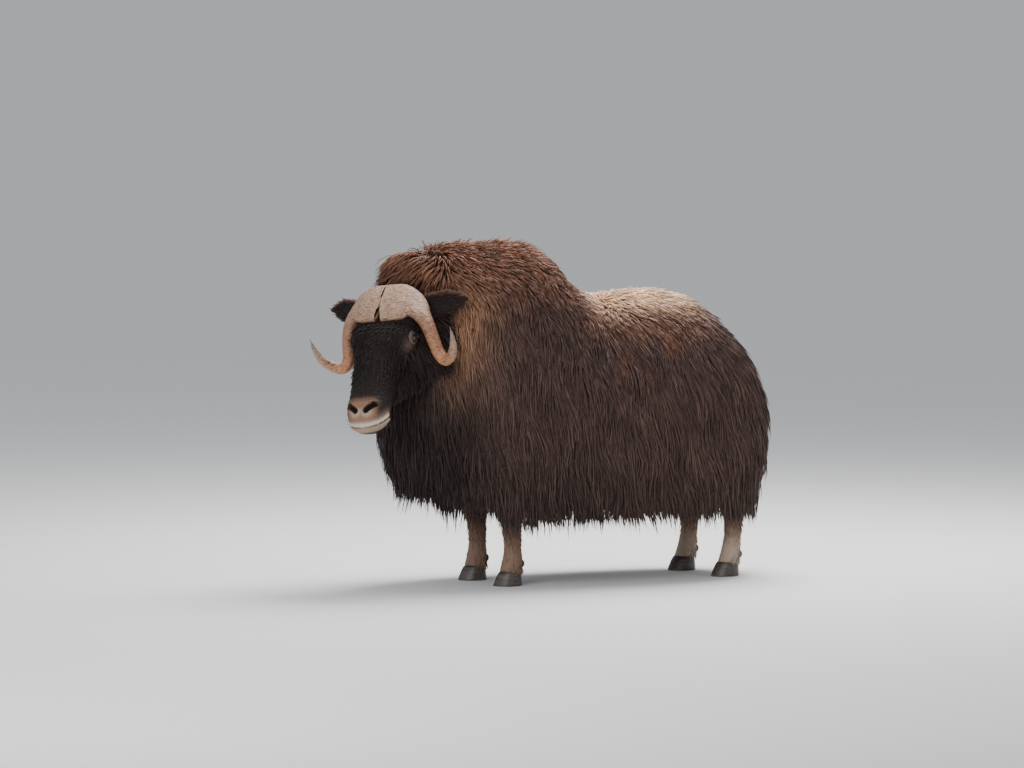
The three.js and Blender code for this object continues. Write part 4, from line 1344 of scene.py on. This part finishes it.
class MUSKOX_OT_skin(bpy.types.Operator):
    """Build the skin of body, head, ears, legs and tail"""

    bl_idname = "muskox.skin"
    bl_label = "Skin"

    def execute(self, context):
        shells = Shells()
        shells.add(core_grid(), body_skin_tint, PATCHES["body"], zipped=True)
        shells.add(nape_grid(), plain_tint(NIGHT * 0.6), PATCHES["nape"])
        shells.add(from_head(head_grid()), head_skin_tint, PATCHES["head"])
        for index, (_, side) in enumerate(SIDES):
            ears_low, ears_high = spot("ears", index / 2, 0), spot("ears", (index + 1) / 2, 1)
            ear = ear_point(np.linspace(0, 1, 30)[:, None], round_turns(36)[None], side)
            shells.add(from_head(ear), plain_tint(NIGHT), (ears_low, ears_high))
        for index, (kind, at) in enumerate(FEET.values()):
            patch = spot("legs", index / 4, 0), spot("legs", (index + 1) / 4, 1)
            shells.add(leg_grid(kind, at), leg_tint, patch)
            patch = spot("legs", index / 4, 0.9), spot("legs", (index + 0.5) / 4, 1)
            for side in (1, -1):
                claw = ball_grid(np.array([*at, 0]) + DEWCLAW * [1, side, 1], DEWCLAW_RADII)
                shells.add(claw, dewclaw_tint, patch)
        tail = tail_point(np.linspace(0, 1, 16)[:, None], round_turns(24)[None])
        shells.add(tail, plain_tint(NIGHT), PATCHES["tail"])
        skin = shells.build("skin")
        skin.data.materials.append(skin_material())
        flesh = ["rump", "barrel", "shoulders", "neck", "head", "tail", "ear_left", "ear_right"]
        join_to("face_coat", skin, *flesh, *("leg_" + name for name in FEET))
        return {"FINISHED"}


class MUSKOX_OT_eyelids(bpy.types.Operator):
    """Build the lids round both eyes"""

    bl_idname = "muskox.eyelids"
    bl_label = "Eyelids"

    def execute(self, context):
        for name, side in SIDES:
            grid = lid_grid(side)
            rings, around, _ = grid.shape
            points = from_head(grid.reshape(-1, 3))
            faces = [
                (j * around + i, j * around + (i + 1) % around,
                 (j + 1) % rings * around + (i + 1) % around, (j + 1) % rings * around + i)
                for j in range(rings)
                for i in range(around)
            ]
            if volume_of(points, [[(k, None) for k in face] for face in faces]) < 0:
                faces = [face[::-1] for face in faces]
            mesh = bpy.data.meshes.new("eyelids_" + name)
            mesh.from_pydata(to_row(points).tolist(), [], faces)
            local = to_head(points)
            d = np.hypot(local[:, 0] - EYE[0], local[:, 2] - EYE[2])
            tints = blend_in(np.broadcast_to(NIGHT * 0.5, points.shape), LID * 0.75, smooth(15, 21, d))
            spread = np.array([[i / around, j / rings] for j in range(rings) for i in range(around)])
            unwrap = [spot("head", 0.4 + 0.1 * u, 0.36 + 0.06 * v) for f in faces for u, v in spread[list(f)]]
            finish_mesh(mesh, tints, unwrap)
            piece = linked("eyelids_" + name, mesh)
            piece.data.materials.append(bpy.data.materials["muskox_skin"])
            join_to("face_coat", piece)
        return {"FINISHED"}


class MUSKOX_OT_body_coat(bpy.types.Operator):
    """Grow the long coat of rump, flanks, shoulders and mane"""

    bl_idname = "muskox.body_coat"
    bl_label = "Body coat"

    def execute(self, context):
        settings = context.scene.muskox_coat
        count = settings.body_count // 1
        half = settings.half_width / MM * 1
        data, roots = body_coat(count, half, settings.seed, settings.reach)
        nape = nape_coat(count // 25, half, np.random.default_rng(settings.seed + 3))
        names = ["rump", "loin", "flank", "ribs", "shoulder", "hump", "mane"]
        for name, chosen in zip(names, np.array_split(np.argsort(roots[:, 0]), len(names))):
            slot = "mane_coat" if name in ("hump", "mane") else "body_coat"
            parts = [[d[chosen] for d in data]] + ([nape] if name == "mane" else [])
            join_to(slot, strand_piece("coat_" + name, parts))
        return {"FINISHED"}


class MUSKOX_OT_head_coat(bpy.types.Operator):
    """Grow the hair of face, cheeks, throat and ears"""

    bl_idname = "muskox.head_coat"
    bl_label = "Head coat"

    def execute(self, context):
        settings = context.scene.muskox_coat
        rng = np.random.default_rng(settings.seed + 1)
        face = face_coat(settings.face_count, rng)
        join_to("face_coat", strand_piece("coat_face", [face], from_head))
        long = beard(settings.beard_count, rng)
        join_to("face_coat", strand_piece("coat_beard", [long], from_head))
        ears = ear_coat(settings.ear_count, rng)
        join_to("face_coat", strand_piece("coat_ears", ears, from_head))
        return {"FINISHED"}


class MUSKOX_OT_leg_coat(bpy.types.Operator):
    """Grow the short hair of legs and tail"""

    bl_idname = "muskox.leg_coat"
    bl_label = "Leg and tail coat"

    def execute(self, context):
        settings = context.scene.muskox_coat
        rng = np.random.default_rng(settings.seed + 2)
        join_to("leg_coat", strand_piece("coat_legs", leg_coat(settings.leg_count, rng)))
        join_to("body_coat", strand_piece("coat_tail", tail_coat(1100, rng)))
        return {"FINISHED"}


class MUSKOX_OT_horns(bpy.types.Operator):
    """Build both horns with their broad rough bosses"""

    bl_idname = "muskox.horns"
    bl_label = "Horns"

    def execute(self, context):
        material = horn_material()
        for name, side in SIDES:
            t, grid = horn_grid(side)
            shells = Shells()
            shells.add(from_head(grid), plain_tint(np.full(3, 0.5)), WHOLE, along=t)
            horn = shells.build("horn_shell_" + name)
            horn.data.materials.append(material)
            join_to("horn", horn, "horn_" + name)
        return {"FINISHED"}


class MUSKOX_OT_eyes(bpy.types.Operator):
    """Build both eyeballs"""

    bl_idname = "muskox.eyes"
    bl_label = "Eyes"

    def execute(self, context):
        material = eye_material()
        for name, side in SIDES:
            share, grid = eye_grid(side)
            shells = Shells()
            shells.add(from_head(grid), plain_tint(np.full(3, 0.02)), WHOLE, along=share)
            eye = shells.build("eyeball_" + name)
            eye.data.materials.append(material)
            join_to("eye", eye, "eye_" + name)
        return {"FINISHED"}


class MUSKOX_OT_hooves(bpy.types.Operator):
    """Build the two claws of every foot"""

    bl_idname = "muskox.hooves"
    bl_label = "Hooves"

    def execute(self, context):
        material = hoof_material()
        angle = round_turns(56)[None]
        h = np.array([0.0, 0.0, 0.02, 0.06, 0.14, 0.25, 0.4, 0.55, 0.7, 0.82, 0.9, 0.96, 1.0, 1.0])[:, None]
        draw = np.array([0.5, 0.93, 0.975, 1, 1, 1, 1, 1, 1, 1, 1.01, 0.985, 0.94, 0.5])[:, None]
        c, v = np.cos(angle), np.sin(angle)
        blunt = np.where(c > 0, 1 - 0.35 * c**3, 1)
        for foot, (kind, at) in FEET.items():
            middle = at[0] + LEGS[kind][0](HOOF_HEIGHT)
            for label, outward in (("outer", np.sign(at[1])), ("inner", -np.sign(at[1]))):
                x = middle + CLAW_LEAN(h) + c * CLAW_LENGTH(h) * draw
                centre = CLAW_BREADTH(h) * 0.38
                y = centre + (np.maximum(v, -0.06) * CLAW_BREADTH(h) * blunt - centre) * draw
                y = at[1] + outward * (CLEFT + np.maximum(y, 0.2))
                z = np.broadcast_to(h * (HOOF_HEIGHT - GAP), x.shape)
                shells = Shells()
                grid = np.stack(np.broadcast_arrays(x, y, z), -1)
                shells.add(grid, plain_tint(np.full(3, 0.03)), WHOLE)
                name = f"claw_{foot}_{label}"
                claw = shells.build(name)
                claw.data.materials.append(material)
                join_to("hoof", claw, f"hoof_{foot}_{label}")
        return {"FINISHED"}


# Bristles that follow a line: lashes and whiskers


def bristle_tree(material):
    """Geometry nodes that stand a tapered bristle on every point of a mesh, turned along the point's way
    attribute and scaled at random.
    """
    tree = bpy.data.node_groups.new("bristles", "GeometryNodeTree")
    tree.interface.new_socket("Geometry", in_out="INPUT", socket_type="NodeSocketGeometry")
    tree.interface.new_socket("Geometry", in_out="OUTPUT", socket_type="NodeSocketGeometry")
    sizes = {}
    for label, value in (("Length", 0.014), ("Thickness", 0.0006), ("Uneven", 0.35)):
        socket = tree.interface.new_socket(label, in_out="INPUT", socket_type="NodeSocketFloat")
        socket.default_value = value
        sizes[label] = socket.identifier
    add, link = tree.nodes.new, tree.links.new
    inputs, outputs = add("NodeGroupInput"), add("NodeGroupOutput")
    cone = add("GeometryNodeMeshCone")
    cone.inputs["Vertices"].default_value = 4
    cone.inputs["Radius Top"].default_value = 0.0
    link(inputs.outputs["Length"], cone.inputs["Depth"])
    link(inputs.outputs["Thickness"], cone.inputs["Radius Bottom"])
    place = add("GeometryNodeInstanceOnPoints")
    link(inputs.outputs["Geometry"], place.inputs["Points"])
    link(cone.outputs["Mesh"], place.inputs["Instance"])
    way = add("GeometryNodeInputNamedAttribute")
    way.data_type = "FLOAT_VECTOR"
    way.inputs["Name"].default_value = "way"
    align = add("FunctionNodeAlignRotationToVector")
    align.axis = "Z"
    link(way.outputs["Attribute"], align.inputs["Vector"])
    link(align.outputs["Rotation"], place.inputs["Rotation"])
    size = add("FunctionNodeRandomValue")
    size.data_type = "FLOAT"
    size.inputs["Seed"].default_value = 7
    size.inputs[3].default_value = 1.0
    least = add("ShaderNodeMath")
    least.operation = "SUBTRACT"
    least.inputs[0].default_value = 1.0
    link(inputs.outputs["Uneven"], least.inputs[1])
    link(least.outputs["Value"], size.inputs[2])
    link(size.outputs[1], place.inputs["Scale"])
    real = add("GeometryNodeRealizeInstances")
    link(place.outputs["Instances"], real.inputs["Geometry"])
    finish = add("GeometryNodeSetMaterial")
    finish.inputs["Material"].default_value = material
    link(real.outputs["Geometry"], finish.inputs["Geometry"])
    link(finish.outputs["Geometry"], outputs.inputs["Geometry"])
    return tree, sizes


def bristle_piece(name, points, ways, tree, sizes, length, thickness):
    """A plain mesh of bristles that stand on points and point along ways."""
    seeds = bpy.data.meshes.new(name + "_points")
    seeds.from_pydata(to_row(points).tolist(), [], [])
    attribute = seeds.attributes.new("way", "FLOAT_VECTOR", "POINT")
    attribute.data.foreach_set("vector", ways.astype(np.float32).ravel())
    holder = linked(name + "_points", seeds)
    modifier = holder.modifiers.new("bristles", "NODES")
    modifier.node_group = tree
    modifier[sizes["Length"]] = length
    modifier[sizes["Thickness"]] = thickness
    evaluated = holder.evaluated_get(bpy.context.evaluated_depsgraph_get())
    mesh = bpy.data.meshes.new_from_object(evaluated)
    holder.modifiers.remove(modifier)
    bpy.data.objects.remove(holder)
    mesh.name = name
    return linked(name, mesh)


class MUSKOX_OT_bristles(bpy.types.Operator):
    """Set the lashes on the lids and the whiskers on lips and chin"""

    bl_idname = "muskox.bristles"
    bl_label = "Lashes and whiskers"

    def execute(self, context):
        material = plain_material("muskox_bristle", rgb(30, 24, 22), 0.4)
        tree, sizes = bristle_tree(material)
        lash_points, lash_ways = [], []
        for _, side in SIDES:
            rim = lid_grid(side, 72)[3]
            upper = np.arange(3, 34)
            for i in upper:
                out = rim[i] - np.array([EYE[0], side * EYE[1], EYE[2]])
                lash_points.append(rim[i] + unit(out) * 5)
                lash_ways.append(unit(out + np.array([10.0, side * 14.0, 6.0])))
        points, ways = np.array(lash_points), np.array(lash_ways)
        lashes = bristle_piece("lashes", from_head(points), ways @ HEAD_TURN.T, tree, sizes, 0.014, 0.0007)
        join_to("face_coat", lashes)
        rng = np.random.default_rng(3)
        count = 60
        x, angle = rng.uniform(425, 478, count), rng.choice([1, -1], count) * rng.uniform(0.2, 1.3, count)
        roots = head_point(x, np.where(rng.random(count) < 0.5, angle, math.pi - angle))
        out = unit(roots - np.stack([x - 10, 0 * x, HEAD_WIDEST(x)], -1))
        ways = unit(out + rng.normal(0, 0.25, out.shape) + np.array([0.4, 0, 0]))
        whiskers = bristle_piece(
            "whiskers", from_head(roots + ways * 6), ways @ HEAD_TURN.T, tree, sizes, 0.015, 0.0005
        )
        join_to("face_coat", whiskers)
        bpy.data.node_groups.remove(tree)
        return {"FINISHED"}


class MUSKOX_OT_stage(bpy.types.Operator):
    """Set the floor, the light and the camera"""

    bl_idname = "muskox.stage"
    bl_label = "Stage"

    def execute(self, context):
        settings = context.scene.muskox_stage
        mesh = bpy.data.meshes.new("floor")
        corners = [(x * FLOOR_REACH, y * FLOOR_REACH, 0) for x, y in ((-1, -1), (1, -1), (1, 1), (-1, 1))]
        mesh.from_pydata(corners, [], [(0, 1, 2, 3)])
        floor = linked("floor", mesh)
        mesh.materials.append(plain_material("floor", settings.floor_colour, 0.9))
        world = bpy.data.worlds.new("studio")
        world.use_nodes = True
        background = world.node_tree.nodes["Background"]
        background.inputs["Color"].default_value = SKY
        background.inputs["Strength"].default_value = SKY_STRENGTH
        context.scene.world = world
        back = camera_back()
        left = Vector((-back.y, back.x, 0)).normalized()
        add_lamp("key", Vector((0, 0, 1)) * 4.6 - back * 1.5 + left * 1.0, 3.0, settings.key_power)
        add_lamp("fill", back * 6 - left * 2.5 + Vector((0, 0, 3.0)), 4.0, settings.fill_power)
        data = bpy.data.cameras.new("camera")
        data.lens = settings.camera_lens
        data.sensor_width = 36
        data.clip_end = 1000
        camera = bpy.data.objects.new("camera", data)
        context.scene.collection.objects.link(camera)
        target = Vector(to_row(CAMERA_TARGET))
        camera.location = target + back * settings.camera_distance
        camera.rotation_euler = back.to_track_quat("Z", "Y").to_euler()
        context.scene.camera = camera
        return {"FINISHED"}


def camera_back():
    """The way from the animal to the camera."""
    a, e = math.radians(CAMERA_AZIMUTH), math.radians(CAMERA_ELEVATION)
    return Vector((math.sin(a) * math.cos(e), -math.cos(a) * math.cos(e), math.sin(e)))


def add_lamp(name, place, size, watts):
    data = bpy.data.lights.new(name, "AREA")
    data.shape = "SQUARE"
    data.size = size
    data.energy = watts
    lamp = bpy.data.objects.new(name, data)
    lamp.location = place
    aim = place - Vector((0, 0, 0.8))
    lamp.rotation_euler = aim.to_track_quat("Z", "Y").to_euler()
    bpy.context.scene.collection.objects.link(lamp)


class MUSKOX_PT_panel(bpy.types.Panel):
    """Sizes of the muskox and the steps that build it"""

    bl_label = "Muskox"
    bl_idname = "MUSKOX_PT_panel"
    bl_space_type = "VIEW_3D"
    bl_region_type = "UI"
    bl_category = "Muskox"

    def draw(self, context):
        for group in (context.scene.muskox_coat, context.scene.muskox_stage):
            for key in type(group).__annotations__:
                self.layout.prop(group, key)
        for step in STEPS:
            self.layout.operator(step.bl_idname)


STEPS = (
    MUSKOX_OT_skin,
    MUSKOX_OT_eyelids,
    MUSKOX_OT_body_coat,
    MUSKOX_OT_head_coat,
    MUSKOX_OT_leg_coat,
    MUSKOX_OT_horns,
    MUSKOX_OT_eyes,
    MUSKOX_OT_hooves,
    MUSKOX_OT_bristles,
    MUSKOX_OT_stage,
)
CLASSES = (MuskoxCoatSettings, MuskoxStageSettings, *STEPS, MUSKOX_PT_panel)


def register():
    for cls in CLASSES:
        bpy.utils.register_class(cls)
    bpy.types.Scene.muskox_coat = PointerProperty(type=MuskoxCoatSettings)
    bpy.types.Scene.muskox_stage = PointerProperty(type=MuskoxStageSettings)


def unregister():
    del bpy.types.Scene.muskox_coat
    del bpy.types.Scene.muskox_stage
    for cls in reversed(CLASSES):
        bpy.utils.unregister_class(cls)


def main():
    register()
    for step in STEPS:
        group, name = step.bl_idname.split(".")
        getattr(getattr(bpy.ops, group), name)()


if __name__ == "__main__":
    main()
